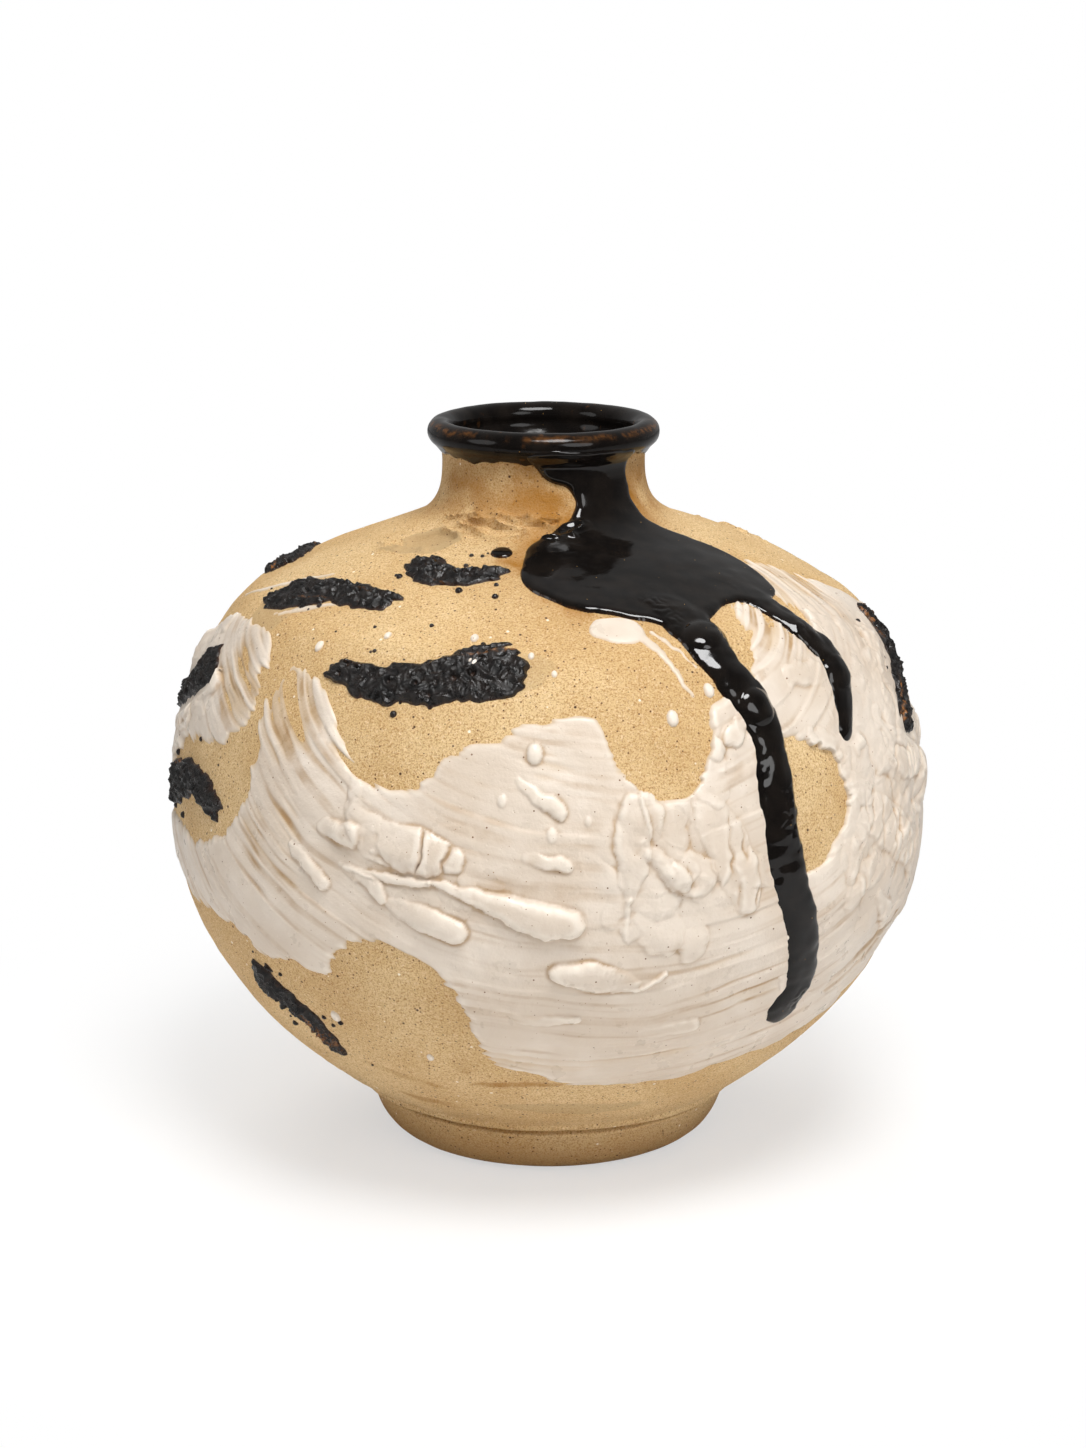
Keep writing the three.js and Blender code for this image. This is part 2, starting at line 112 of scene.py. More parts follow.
# Outlines of the coats as (bearing in degrees from the front, rise along the wall from the ledge)
POOL = [
    (-4, 342), (-3, 334), (4, 329), (13, 326), (17, 320), (12, 313), (3, 307), (-5, 300), (-8, 290),
    (-6, 276), (0, 264), (9, 256), (18, 250), (26, 245), (34, 247), (40, 252), (46, 251), (52, 249),
    (58, 251), (62, 261), (65, 275), (63, 291), (58, 305), (52, 320), (50, 332), (50, 342),
]
LONG_RUN = [
    (26, 262, 9.0), (29, 238, 9.5), (30, 222, 7.6), (33, 205, 8.4), (34, 192, 7.4), (34, 165, 8.0),
    (35, 145, 8.6), (37, 128, 7.6), (39, 110, 8.0), (40, 97, 7.4), (39, 84, 8.2),
]
SHORT_RUN = [
    (50, 264, 9.0), (50, 246, 7.0), (51, 232, 6.2), (53, 220, 7.0), (53, 208, 7.4), (50, 190, 5.2),
]
SLIP_FRONT = [
    (-47, 214), (-41, 213), (-36, 203), (-32, 189), (-26, 179), (-19, 179), (-15, 190), (-8, 199),
    (0, 206), (6, 209), (9, 198), (11, 185), (16, 177), (21, 179), (24, 194), (26, 208), (31, 214),
    (36, 208), (36, 180), (36, 150), (37, 120), (39, 100), (46, 88), (55, 79), (58, 69), (50, 60),
    (42, 56), (32, 53), (22, 48), (10, 49), (0, 56), (-7, 65), (-11, 77), (-13, 95), (-16, 112),
    (-22, 121), (-28, 121), (-33, 108), (-37, 100), (-42, 105), (-47, 101), (-53, 108), (-60, 112),
    (-68, 112), (-77, 117), (-85, 124), (-84, 134), (-76, 138), (-66, 137), (-59, 141), (-53, 150),
    (-50, 163), (-49, 180), (-50, 198),
]
SLIP_RIGHT = [
    (36, 90), (36, 140), (40, 143), (45, 152), (47.5, 166), (46, 181), (41, 191), (35, 196), (35, 218),
    (38, 234), (42, 251), (46, 247), (47, 236), (50, 226), (55, 226), (57, 240), (58, 256), (62, 271),
    (67, 270), (74, 258), (79, 243), (84, 226), (90, 213), (99, 186), (108, 170), (114, 160), (112, 140),
    (106, 127), (96, 118), (84, 112), (76, 104), (68, 92), (60, 80), (52, 74), (44, 80),
]
SLIP_LEFT = [
    (-118, 150), (-112, 172), (-102, 190), (-92, 203), (-84, 214), (-76, 223), (-66, 226), (-58, 224),
    (-54, 212), (-52, 198), (-55, 186), (-61, 178), (-68, 176), (-75, 170), (-82, 158), (-90, 143),
    (-98, 132), (-108, 132),
]
SLIP_BACK_A = [
    (118, 130), (122, 156), (130, 178), (140, 196), (150, 192), (158, 190), (167, 204), (174, 190),
    (180, 166), (184, 150), (182, 124), (177, 108), (168, 92), (156, 76), (146, 80), (136, 90), (126, 104),
]
SLIP_BACK_B = [
    (186, 128), (190, 158), (197, 176), (207, 190), (218, 206), (227, 196), (235, 180), (243, 164),
    (244, 140), (238, 118), (228, 98), (216, 82), (206, 70), (197, 90), (190, 108),
]

# Thick dabs, each as (bearing, rise, half width) from its thin end to its thick head, and its height
DABS = [
    ([(-16.5, 147.5, 0.8), (-11, 143.5, 2.6), (-6.5, 139.5, 4.4), (-1.4, 135, 6.8), (3, 133, 5.4)], 4.5),
    ([(-22, 136.5, 2.4), (-17.3, 132.8, 5.0), (-12.8, 129, 4.6)], 3.1),
    ([(-33, 161, 3.0), (-28.5, 160, 4.8)], 3.4),
    ([(-30, 148.5, 1.2), (-22, 146.3, 1.8), (-16.5, 147, 1.6)], 2.0),
    ([(11.1, 141, 1.6), (11.3, 152, 5.2), (11.5, 163, 6.6), (11.6, 175, 4.0)], 2.8),
    ([(14.5, 165, 2.5), (14.2, 173, 4.2), (13.5, 178, 3.0)], 2.5), ([(10.3, 127, 0.8), (11, 142, 1.3)], 1.5),
    ([(11.7, 108.5, 3.0), (6.4, 111.5, 6.2), (2, 113.5, 4.6)], 3.2),
    ([(6, 104.5, 0.7), (13, 106, 0.9), (16.5, 112, 1.1)], 1.5), ([(-2.8, 157, 2.0), (2.4, 154.4, 3.0)], 2.0),
    ([(-4.5, 185, 1.0), (-2, 180, 2.6), (0.5, 175.5, 3.5), (2, 172.5, 2.4)], 2.1),
    ([(-29, 147, 2.0), (-25, 143, 3.2), (-23.4, 138.7, 2.6)], 2.0), ([(14, 158, 3.0), (18, 147, 4.5)], 2.1),
    ([(21, 203, 2.0), (25, 192, 4.0)], 1.8), ([(31, 205, 2.5), (28, 196, 4.2)], 2.0),
    ([(14, 84, 2.5), (22, 86, 4.0)], 1.4), ([(-39, 152, 1.5), (-33, 141, 3.5)], 1.7),
    ([(-8, 96, 1.2), (-2, 92, 2.4), (4, 93, 1.6)], 1.4), ([(70, 150, 6.0), (77, 158, 8.5)], 3.6),
    ([(54, 125, 2.0), (58.5, 114, 4.5)], 2.1), ([(84, 152, 3.0), (88, 140, 6.0)], 2.5),
    ([(-105, 151, 6.0), (-98, 158, 8.5)], 3.6), ([(-75, 190, 2.5), (-68, 199, 5.0)], 2.5),
    ([(-86, 186, 3.0), (-80, 194, 5.0)], 2.5), ([(168, 137, 6.0), (176, 144, 8.5)], 3.9),
    ([(154, 135, 3.0), (147, 124, 6.0)], 3.1), ([(213, 139, 6.0), (204, 145, 8.0)], 3.6),
    ([(216, 153, 3.0), (222, 164, 5.0)], 2.8),
]
# Broad slabs of thick slip that have split, in the same form
SLABS = [
    ([(-28, 167, 4.0), (-24, 159.5, 8.0), (-18, 157.5, 8.5), (-13.5, 155, 5.0)], 3.4),
    ([(19, 178, 4.0), (23.5, 167, 8.0), (26, 152, 9.0), (28, 138, 6.0)], 2.4),
    ([(15.5, 158, 5.0), (20, 148, 8.0)], 2.1), ([(49, 163, 5.0), (56, 151, 9.5), (63, 137, 8.0)], 2.8),
    ([(58, 184, 5.0), (65, 171, 9.0), (71, 166, 7.0)], 2.8), ([(80, 178, 5.0), (90, 164, 9.0)], 2.5),
    ([(-92, 172, 6.0), (-84, 178, 9.0), (-76, 180, 6.0)], 2.7), ([(140, 150, 6.0), (160, 160, 10.0)], 2.5),
    ([(196, 120, 6.0), (216, 118, 9.0)], 2.5),
]
# Round beads of slip as (bearing, rise, radius)
BEADS = [
    (0.5, 165, 2.2), (-2, 194, 2.9), (-6.5, 177, 1.8), (5.5, 170, 1.5), (-14, 240, 1.5), (-13, 228, 2.1),
    (-3, 232, 1.2), (-31, 236, 1.4), (19, 205, 2.2), (-44, 226, 1.7), (26, 214, 2.0),
    (1, 224, 1.1), (-36, 80, 2.0), (-20, 66, 1.4), (52, 142, 2.2), (64, 181, 2.4),
]
# Thin drags of slip as (bearing, rise, half width) along each
DRAGS = [
    [(17, 243, 2.2), (20, 230, 1.3), (23, 212, 0.7)], [(20, 242, 1.0), (23, 232, 0.8), (25, 224, 0.5)],
    [(-72, 237, 1.2), (-65, 247, 1.9), (-58, 254, 1.0)], [(-78, 240, 0.9), (-70, 252, 1.5), (-63, 262, 0.7)],
    [(-62, 232, 1.0), (-56, 240, 1.5), (-50, 246, 0.8)], [(-84, 230, 1.0), (-76, 243, 1.4), (-70, 254, 0.7)],
]
# Single marks as (bearing, rise, half length, half width, turn, height)
SPLASH = (13.5, 245, 9.5, 7.2, -8, 1.5)
GLAZE_DROP = (-16, 294, 4.2, 3.8, 0, 1.3)
DROP_STAIN = (-11, 292, 8, 6.5, 20, 0)
RUN_BEADS = [(29, 236, 8, 7, 30, 1.5), (33, 205, 7, 7, 0, 1.5), (53, 210, 6.5, 7, 60, 1.2)]

# Rough daubs as points of (bearing, rise above the belly seam), half widths at both ends, and the
# height of the slip under it
DAUBS = [
    ([(-66, 112), (-53, 122), (-38, 122)], 10.5, 5.0, 0.0),
    ([(-37, 87), (-24, 85), (-9, 94)], 5.0, 11.0, 0.0),
    ([(-79, 19), (-67, 29), (-58, 25)], 9.5, 5.0, 0.0),
    ([(-37, 146), (-26, 142), (-16, 147)], 7.5, 4.5, 0.0),
    ([(-50, -44), (-44, -56), (-41, -74)], 9.0, 4.5, 0.0),
    ([(-90, 48), (-82, 56), (-73, 70)], 5.5, 9.0, 0.7),
    ([(72, 54), (78, 70), (80, 90)], 9.5, 5.0, 0.7),
    ([(136, 90), (150, 99), (164, 94)], 5.0, 10.5, 0.0),
    ([(216, 120), (202, 112), (191, 96)], 10.0, 5.0, 0.0),
    ([(-102, 112), (-117, 106), (-128, 90)], 10.0, 5.0, 0.0),
]

# Scars with a clear edge in the clay, in the form of the single marks
SCARS = [
    (-51, 297, 12, 6.5, 20, -1.8), (-62, 289, 5, 3.5, 0, -0.8), (-24, 312, 13, 3.2, -5, 1.4),
    (-4, 314, 11, 2.6, 6, 1.2), (-34, 306, 8, 2.4, 12, 1.1), (120, 262, 12, 7, 15, -1.2),
    (-20, 96, 7, 2.2, -20, -0.6), (-46, 84, 5, 2, 10, -0.6), (190, 262, 11, 6, -10, 0.9),
]
# Soft dents in the clay, in the same form
DENTS = [
    (-50, 297, 16, 10, 20, -1.2), (-60, 283, 10, 6, 0, 0.7), (88, 60, 40, 16, -30, -1.5),
    (70, 92, 30, 14, -25, -1.2), (104, 236, 34, 16, 30, -1.2), (30, 20, 34, 9, -6, -0.7),
    (-100, 250, 30, 14, 12, -1.1), (150, 280, 18, 10, 0, -1.2), (230, 40, 40, 14, 10, -1.2),
]
# Torn ridges in the clay, in the same form
TEARS = [
    (-18, 309, 36, 9, 0, 2.4), (-58, 286, 20, 8, 15, 1.6), (118, 268, 26, 9, 10, 1.6),
    (196, 302, 30, 8, 0, 1.8),
]
# Rusty streaks on the clay, with a strength for the height
STAINS = [
    (-6, 50, 20, 2.6, 4, 0.8), (-14.5, 62, 7, 6, 0, 0.5), (-29, 47, 24, 3, -12, 0.6),
    (-26, 24, 18, 3.5, -8, 0.5), (28, 57, 16, 3, 10, 0.4), (100, 40, 30, 4, 5, 0.5),
    (200, 50, 26, 4, -6, 0.5), (-100, 60, 24, 4, 8, 0.5),
]
# Smooth pale smears on the clay, with a strength for the height
SMEARS = [
    (-51, 296, 16, 9.5, 20, 0.85), (-64, 236, 13, 17, 20, 0.6), (-6, 224, 16, 9, 10, 0.4),
    (6, 26, 30, 6, -4, 0.5), (130, 228, 16, 12, 0, 0.6), (236, 60, 26, 9, 10, 0.6),
]


# Smooth noise on a lattice of slopes
random = np.random.default_rng(11)
SHUFFLE = random.permutation(256)
SLOPES = random.normal(size=(256, 3))
SLOPES /= np.linalg.norm(SLOPES, axis=1)[:, None]


def noise(places, size, seed=0):
    spots = places / size + 17.31 * seed
    cell = np.floor(spots).astype(int)
    part = spots - cell
    ease = part**3 * (part * (6 * part - 15) + 10)
    total = np.zeros(spots.shape[:-1])
    for corner in itertools.product((0, 1), repeat=3):
        key = SHUFFLE[(cell[..., 0] + corner[0]) & 255]
        key = SHUFFLE[(key + cell[..., 1] + corner[1]) & 255]
        key = SHUFFLE[(key + cell[..., 2] + corner[2]) & 255]
        share = np.where(corner, ease, 1 - ease).prod(-1)
        total += share * (SLOPES[key] * (part - corner)).sum(-1)
    return 1.7 * total


def smooth_step(value, low, high):
    share = np.clip((value - low) / (high - low), 0, 1)
    return share * share * (3 - 2 * share)


def soft_max(one, other, reach):
    share = np.clip(0.5 + 0.5 * (one - other) / reach, 0, 1)
    return other + (one - other) * share + reach * share * (1 - share)


# Curves of the profile, as (radius, height)
def bezier(*handles, steps=60):
    share = np.linspace(0, 1, steps + 1)[:, None]
    points = [np.array(handle, float) for handle in handles]
    while len(points) > 1:
        points = [a + (b - a) * share for a, b in zip(points, points[1:])]
    return points[0]


def aimed(start, degrees, reach):
    angle = math.radians(degrees)
    return (start[0] + reach * math.cos(angle), start[1] + reach * math.sin(angle))


class Track:
    """A profile line measured along its length, with the way out of the clay at each point."""

    def __init__(self, curves, zero=0.0):
        self.line = np.vstack([curves[0]] + [curve[1:] for curve in curves[1:]])
        steps = np.linalg.norm(np.diff(self.line, axis=0), axis=1)
        self.rise = np.concatenate([[0], np.cumsum(steps)]) - zero
        tangent = np.gradient(self.line, self.rise, axis=0)
        tangent /= np.linalg.norm(tangent, axis=1)[:, None]
        self.out = np.stack([tangent[:, 1], -tangent[:, 0]], axis=1)

    def radius(self, rise):
        return np.interp(rise, self.rise, self.line[:, 0])

    def place(self, bearing, rise, height):
        radius = self.radius(rise) + height * np.interp(rise, self.rise, self.out[:, 0])
        level = np.interp(rise, self.rise, self.line[:, 1])
        return handmade(bearing, radius, level + height * np.interp(rise, self.rise, self.out[:, 1]))


def handmade(bearing, radius, level):
    turn = np.radians(bearing)
    oval = OVAL * np.cos(2 * (turn - math.radians(OVAL_BEARING)))
    twist = LOBE_TWIST * level / SHOULDER_HEIGHT
    lobes = LOBES * np.cos(3 * (turn - math.radians(LOBE_BEARING)) + twist)
    shaped = radius * (1 + (oval + lobes) / BELLY_RADIUS)
    lean = NECK_LEAN * smooth_step(level, SHOULDER_HEIGHT, WAIST_HEIGHT)
    return np.stack([shaped * np.sin(turn) + lean, -shaped * np.cos(turn), level + 0 * turn], axis=-1)


ledge = (LEDGE_RADIUS, UNDERSIDE + LEDGE_ROUND)
belly = (BELLY_RADIUS, SEAM_HEIGHT)
shoulder = (SHOULDER_RADIUS, SHOULDER_HEIGHT)
waist = (NECK_RADIUS, WAIST_HEIGHT)
lip = (LIP_RADIUS, LIP_HEIGHT)
lip_outer = aimed(lip, LIP_START, LIP_ROLL)
lip_inner = aimed(lip, LIP_END, LIP_ROLL)
throat = (NECK_RADIUS - WALL, WAIST_HEIGHT)
ledge_arc = bezier(
    (LEDGE_RADIUS - LEDGE_ROUND, UNDERSIDE), (LEDGE_RADIUS, UNDERSIDE), ledge, steps=8
)
lower_curve = bezier(
    ledge, aimed(ledge, LEDGE_SLOPE, LEDGE_REACH), (BELLY_RADIUS, SEAM_HEIGHT - BELLY_REACH_DOWN), belly
)
upper_curve = bezier(
    belly, (BELLY_RADIUS, SEAM_HEIGHT + BELLY_REACH_UP),
    aimed(shoulder, -SHOULDER_SLOPE, SHOULDER_REACH_DOWN), shoulder,
)
shoulder_curve = bezier(
    shoulder, aimed(shoulder, 180 - SHOULDER_SLOPE, SHOULDER_REACH_UP),
    (NECK_RADIUS, WAIST_HEIGHT - NECK_REACH), waist,
)
flare_curve = bezier(
    waist, (NECK_RADIUS, WAIST_HEIGHT + FLARE_REACH),
    aimed(lip_outer, LIP_START - 90, FLARE_REACH), lip_outer, steps=20,
)
lip_turns = np.radians(np.linspace(LIP_START, LIP_END, 25))
lip_curve = np.array(lip) + LIP_ROLL * np.stack([np.cos(lip_turns), np.sin(lip_turns)], axis=1)
throat_curve = bezier(
    lip_inner, aimed(lip_inner, LIP_END + 90, FLARE_REACH),
    (throat[0], throat[1] + FLARE_REACH), throat, steps=20,
)
ledge_length = Track([ledge_arc]).rise[-1]
outer = Track([ledge_arc, lower_curve, upper_curve, shoulder_curve], zero=ledge_length)
NECK_RISE = outer.rise[-1]
inside_line = outer.line[::-1] - WALL * outer.out[::-1]
inside_top = inside_line[outer.rise[::-1] < NECK_RISE - 0.5]
skin = Track(
    [ledge_arc, lower_curve, upper_curve, shoulder_curve, flare_curve, lip_curve, throat_curve, inside_top],
    zero=ledge_length,
)
NECK_SEAM_RISE = NECK_RISE - NECK_SEAM_DROP
LIP_RISE = NECK_RISE + Track([flare_curve]).rise[-1]
THROAT_RISE = LIP_RISE + Track([lip_curve]).rise[-1]
COAT_END = THROAT_RISE + Track([throat_curve]).rise[-1] + THROAT_DEPTH
ridge = [[(FOOT_TOP_RADIUS + out, level) for out, level in curve] for curve in FOOT_RIDGE]
foot_inside = (FOOT_BORE_RADIUS, FOOT_INNER_EDGE)
foot_flat = ((FOOT_BORE_RADIUS + FOOT_FLAT_INSET, 0), (FOOT_RADIUS - FOOT_FLAT_INSET, 0))
foot_outside = (FOOT_RADIUS, FOOT_EDGE)
foot = Track([
    bezier((FOOT_BORE_RADIUS, FOOT_HEIGHT + FOOT_TUCK), foot_inside, steps=12),
    bezier(foot_inside, (FOOT_BORE_RADIUS, 0), foot_flat[0], steps=6),
    bezier(*foot_flat, steps=6),
    bezier(foot_flat[1], (FOOT_RADIUS - 0.3, 0), foot_outside, steps=6),
    bezier(foot_outside, (FOOT_TOP_RADIUS - FOOT_TAPER, FOOT_BULGE), ridge[0][0], steps=20),
    *(bezier(*curve, steps=6) for curve in ridge),
])


def wrapped(degrees):
    return (degrees + 180) % 360 - 180


def in_form(bearing, rise, form):
    """Place within an oval form, as shares of its half length and half width."""
    at, level, half_length, half_width, turn, _ = form
    across = np.radians(wrapped(bearing - at)) * outer.radius(level)
    up = rise - level
    cos, sin = math.cos(math.radians(turn)), math.sin(math.radians(turn))
    return (across * cos + up * sin) / half_length, (up * cos - across * sin) / half_width


def mound(bearing, rise, form):
    """Oval mound, 1 at its middle and 0 at its rim, below 0 outside."""
    along, across = in_form(bearing, rise, form)
    return 1 - along**2 - across**2


def clay_lumps(places):
    lumps = 0.9 * noise(places, 62, 1) + 0.4 * noise(places, 27, 2) + 0.16 * noise(places, 9, 3)
    torn = smooth_step(noise(places, 46, 7), 0.2, 0.55) * noise(places, 4.6, 9)
    return lumps + 0.07 * noise(places * (1, 1, 3.5), 12, 4) + 0.3 * torn


def on_clay(bearing, rise, height):
    """Places at a height over the lumpy, dented clay."""
    bare = skin.place(bearing, rise, 0)
    lumps = clay_lumps(bare) * (1 - 0.75 * smooth_step(rise, NECK_RISE - 25, NECK_RISE + 5))
    for dent in DENTS:
        lumps += dent[5] * np.exp(2.2 * np.minimum(mound(bearing, rise, dent) - 1, 0))
    ragged = 0.45 * noise(bare, 6, 10)
    for scar in SCARS:
        lumps += scar[5] * smooth_step(mound(bearing, rise, scar) + ragged, -0.1, 0.4)
    ridges = (1 - np.abs(noise(bare * (0.5, 0.5, 1.6), 6, 71))) ** 4 - 0.25
    for tear in TEARS:
        lumps += tear[5] * ridges * smooth_step(mound(bearing, rise, tear) + 1.3 * ragged, 0, 0.7)
    return skin.place(bearing, rise, height + lumps)


# Outlines and strokes laid on the wall, with distances measured over the real surface
def smoothed(outline, steps=4):
    points = np.array(outline, float)
    before, after, beyond = np.roll(points, 1, 0), np.roll(points, -1, 0), np.roll(points, -2, 0)
    share = np.linspace(0, 1, steps, endpoint=False)[:, None, None]
    curve = 0.5 * (
        2 * points + (after - before) * share
        + (2 * before - 5 * points + 4 * after - beyond) * share**2
        + (3 * points - before - 3 * after + beyond) * share**3
    )
    return curve.transpose(1, 0, 2).reshape(-1, 2)


def to_segment(places, start, end):
    along = end - start
    share = np.clip((places - start) @ along / (along @ along), 0, 1)
    return np.linalg.norm(places - start - share[..., None] * along, axis=-1), share


def inside_depth(bearing, rise, places, outline):
    """Distance from the outline, above 0 inside it."""
    corners = smoothed(outline)
    ends = np.roll(corners, -1, axis=0)
    solid = skin.place(corners[:, 0], corners[:, 1], 0)
    nearest = np.full(bearing.shape, FAR)
    within = np.zeros(bearing.shape, bool)
    for index, (start, end) in enumerate(zip(corners, ends)):
        gap, _ = to_segment(places, solid[index], solid[(index + 1) % len(solid)])
        nearest = np.minimum(nearest, gap)
        crosses = (start[1] > rise) != (end[1] > rise)
        if start[1] != end[1]:
            at = start[0] + (rise - start[1]) * (end[0] - start[0]) / (end[1] - start[1])
            within ^= crosses & (bearing < at)
    return np.where(within, nearest, -nearest)


def on_coarse(measure, bearings, rises):
    """Measures on every third line of a patch and fills in between."""
    few_bearings = np.linspace(bearings[0], bearings[-1], len(bearings) // 3)
    few_rises = np.linspace(rises[0], rises[-1], len(rises) // 3)
    values = measure(*np.meshgrid(few_bearings, few_rises, indexing="ij"))
    values = np.stack([np.interp(rises, few_rises, row) for row in values])
    return np.stack([np.interp(bearings, few_bearings, column) for column in values.T]).T


def outline_depth(bearings, rises, outline):
    def measure(bearing, rise):
        return inside_depth(bearing, rise, skin.place(bearing, rise, 0), outline)

    return on_coarse(measure, bearings, rises)


def daub_path(points, start_width, end_width):
    """Stroke of (bearing, rise, half width) points for a daub."""
    widths = np.linspace(start_width, end_width, len(points))
    return [(bearing, SEAM_RISE + lift, width) for (bearing, lift), width in zip(points, widths)]


def overlaid_gap(bearings, rises):
    """Distance to the nearest run or daub that lies on the slip, below 0 under it."""
    laid = [LONG_RUN, SHORT_RUN] + [daub_path(*daub[:3]) for daub in DAUBS if daub[3] > 0]

    def measure(bearing, rise):
        places = skin.place(bearing, rise, 0)
        return -np.max([along_stroke(places, path)[0] for path in laid], axis=0)

    return on_coarse(measure, bearings, rises)


def spline(path, steps=8):
    """Smooth line through all columns of a path's points."""
    points = np.array(path, float)
    padded = np.vstack([2 * points[0] - points[1], points, 2 * points[-1] - points[-2]])
    share = np.linspace(0, 1, steps, endpoint=False)[:, None]
    curve = []
    for a, b, c, d in zip(padded, padded[1:], padded[2:], padded[3:]):
        bend = (2 * a - 5 * b + 4 * c - d) * share**2 + (3 * b - a - 3 * c + d) * share**3
        curve.append(0.5 * (2 * b + (c - a) * share + bend))
    return np.vstack(curve + [points[-1:]])


def along_stroke(places, path):
    """Depth in a stroke of (bearing, rise, half width) points, its width, and the way along and across."""
    line = spline(path)
    solid = skin.place(line[:, 0], line[:, 1], 0)
    depth = np.full(places.shape[:-1], -FAR)
    width, along, across = np.ones(depth.shape), np.zeros(depth.shape), np.zeros(depth.shape)
    passed = 0.0
    for index in range(len(solid) - 1):
        step = solid[index + 1] - solid[index]
        length = np.linalg.norm(step)
        gap, share = to_segment(places, solid[index], solid[index + 1])
        half = line[index, 2] + share * (line[index + 1, 2] - line[index, 2])
        side = np.cross(step / length, solid[index] / np.linalg.norm(solid[index]))
        nearer = half - gap > depth
        depth = np.where(nearer, half - gap, depth)
        width = np.where(nearer, half, width)
        along = np.where(nearer, passed + share * length, along)
        across = np.where(nearer, (places - solid[index]) @ side, across)
        passed += length
    return depth, width, along, across


def rounded(depth, reach, height):
    """Fat rounded edge that rises from the clay, and sinks below it outside."""
    inward = np.clip(depth / reach, 0, 1)
    return np.where(depth > 0, height * np.sqrt(1 - (1 - inward) ** 2), 0.6 * depth)


# Meshes
def mesh_object(name, places, faces, materials, paints, slots=None):
    mesh = bpy.data.meshes.new(name)
    mesh.vertices.add(len(places))
    mesh.vertices.foreach_set("co", (places * MILLIMETRE).astype(np.float32).ravel())
    mesh.loops.add(faces.size)
    mesh.loops.foreach_set("vertex_index", faces.astype(np.int32).ravel())
    mesh.polygons.add(len(faces))
    mesh.polygons.foreach_set("loop_start", np.arange(0, faces.size, 4, dtype=np.int32))
    if slots is not None:
        mesh.polygons.foreach_set("material_index", slots.astype(np.int32))
    mesh.update(calc_edges=True)
    mesh.shade_smooth()
    for paint, values in paints.items():
        layer = mesh.attributes.new(paint, "FLOAT", "POINT")
        layer.data.foreach_set("value", values.astype(np.float32).ravel())
    for material in materials:
        mesh.materials.append(material)
    piece = bpy.data.objects.new(name, mesh)
    bpy.context.scene.collection.objects.link(piece)
    return piece


def turned(name, rings, materials, paints, inside_from=None):
    """Body of rings of places, from the outside over the top and back down the inside."""
    rows = len(rings)
    row, column = np.meshgrid(np.arange(rows), np.arange(COLUMNS), indexing="ij")
    near, far = row * COLUMNS, (row + 1) % rows * COLUMNS
    onward = (column + 1) % COLUMNS
    faces = np.stack([near + column, near + onward, far + onward, far + column], axis=-1).reshape(-1, 4)
    slots = np.zeros(len(faces), int)
    if inside_from is not None:
        slots[inside_from * COLUMNS:] = 1
    piece = mesh_object(name, np.concatenate(rings), faces, materials, paints, slots)
    piece.data.set_sharp_from_angle(angle=math.radians(SHARP_ANGLE))
    return piece


def coat(name, bearings, rises, height, material, paints, closed=True):
    """Body over a patch of the wall where height is above the clay, its border sunk in."""
    bearing, rise = np.meshgrid(bearings, rises, indexing="ij")
    shown = height > SUNK
    cells = shown[:-1, :-1] | shown[1:, :-1] | shown[1:, 1:] | shown[:-1, 1:]
    index = np.arange(bearing.size).reshape(bearing.shape)
    corners = [index[:-1, :-1], index[1:, :-1], index[1:, 1:], index[:-1, 1:]]
    quads = np.stack([corner[cells] for corner in corners], axis=-1)
    faces = [quads]
    if closed:
        faces.append(quads[:, ::-1] + bearing.size)
        edged = np.pad(cells, 1)
        for start, end, shift in ((0, 1, (0, -1)), (1, 2, (1, 0)), (2, 3, (0, 1)), (3, 0, (-1, 0))):
            neighbour = np.roll(edged, (-shift[0], -shift[1]), (0, 1))[1:-1, 1:-1]
            open_edge = cells & ~neighbour
            one, two = corners[start][open_edge], corners[end][open_edge]
            faces.append(np.stack([two, one, one + bearing.size, two + bearing.size], axis=-1))
    used, faces = np.unique(np.concatenate(faces), return_inverse=True)
    places = on_clay(bearing, rise, np.maximum(height, SUNK)).reshape(-1, 3)
    if closed:
        bottom = on_clay(bearing, rise, np.full(bearing.shape, BOTTOM)).reshape(-1, 3)
        places = np.concatenate([places, bottom])
    values = {paint: np.tile(value.ravel(), 2)[used] for paint, value in paints.items()}
    return mesh_object(name, places[used], faces.reshape(-1, 4), [material], values)


def blurred(values, reach):
    """Mean over a square of the given reach in grid steps."""
    for _ in range(2):
        sums = np.cumsum(np.pad(values, ((reach + 1, reach), (0, 0)), mode="edge"), axis=0)
        values = ((sums[2 * reach + 1:] - sums[:-2 * reach - 1]) / (2 * reach + 1)).T
    return values


Grid = namedtuple("Grid", "bearings rises bearing rise places")


def patch(low, high, step, radius=BELLY_RADIUS):
    """Lines of a patch of the wall between two corners, and its grid of bearings, rises and places."""
    turn = math.degrees(step / radius)
    bearings = np.linspace(low[0], high[0], math.ceil((high[0] - low[0]) / turn))
    rises = np.linspace(low[1], high[1], math.ceil((high[1] - low[1]) / step))
    bearing, rise = np.meshgrid(bearings, rises, indexing="ij")
    return Grid(bearings, rises, bearing, rise, skin.place(bearing, rise, 0))


# Materials
class Nodes:
    """A node tree that is filled node by node."""

    def __init__(self, owner):
        owner.use_nodes = True
        self.tree = owner.node_tree

    def feed(self, socket, value):
        if isinstance(value, bpy.types.NodeSocket):
            self.tree.links.new(value, socket)
        else:
            socket.default_value = value

    def node(self, kind, settings, inputs):
        made = self.tree.nodes.new("ShaderNode" + kind)
        for setting, value in settings.items():
            setattr(made, setting, value)
        for name, value in inputs.items():
            self.feed(made.inputs[name], value)
        return made

    def first(self, kind):
        return next(node for node in self.tree.nodes if node.type == kind)


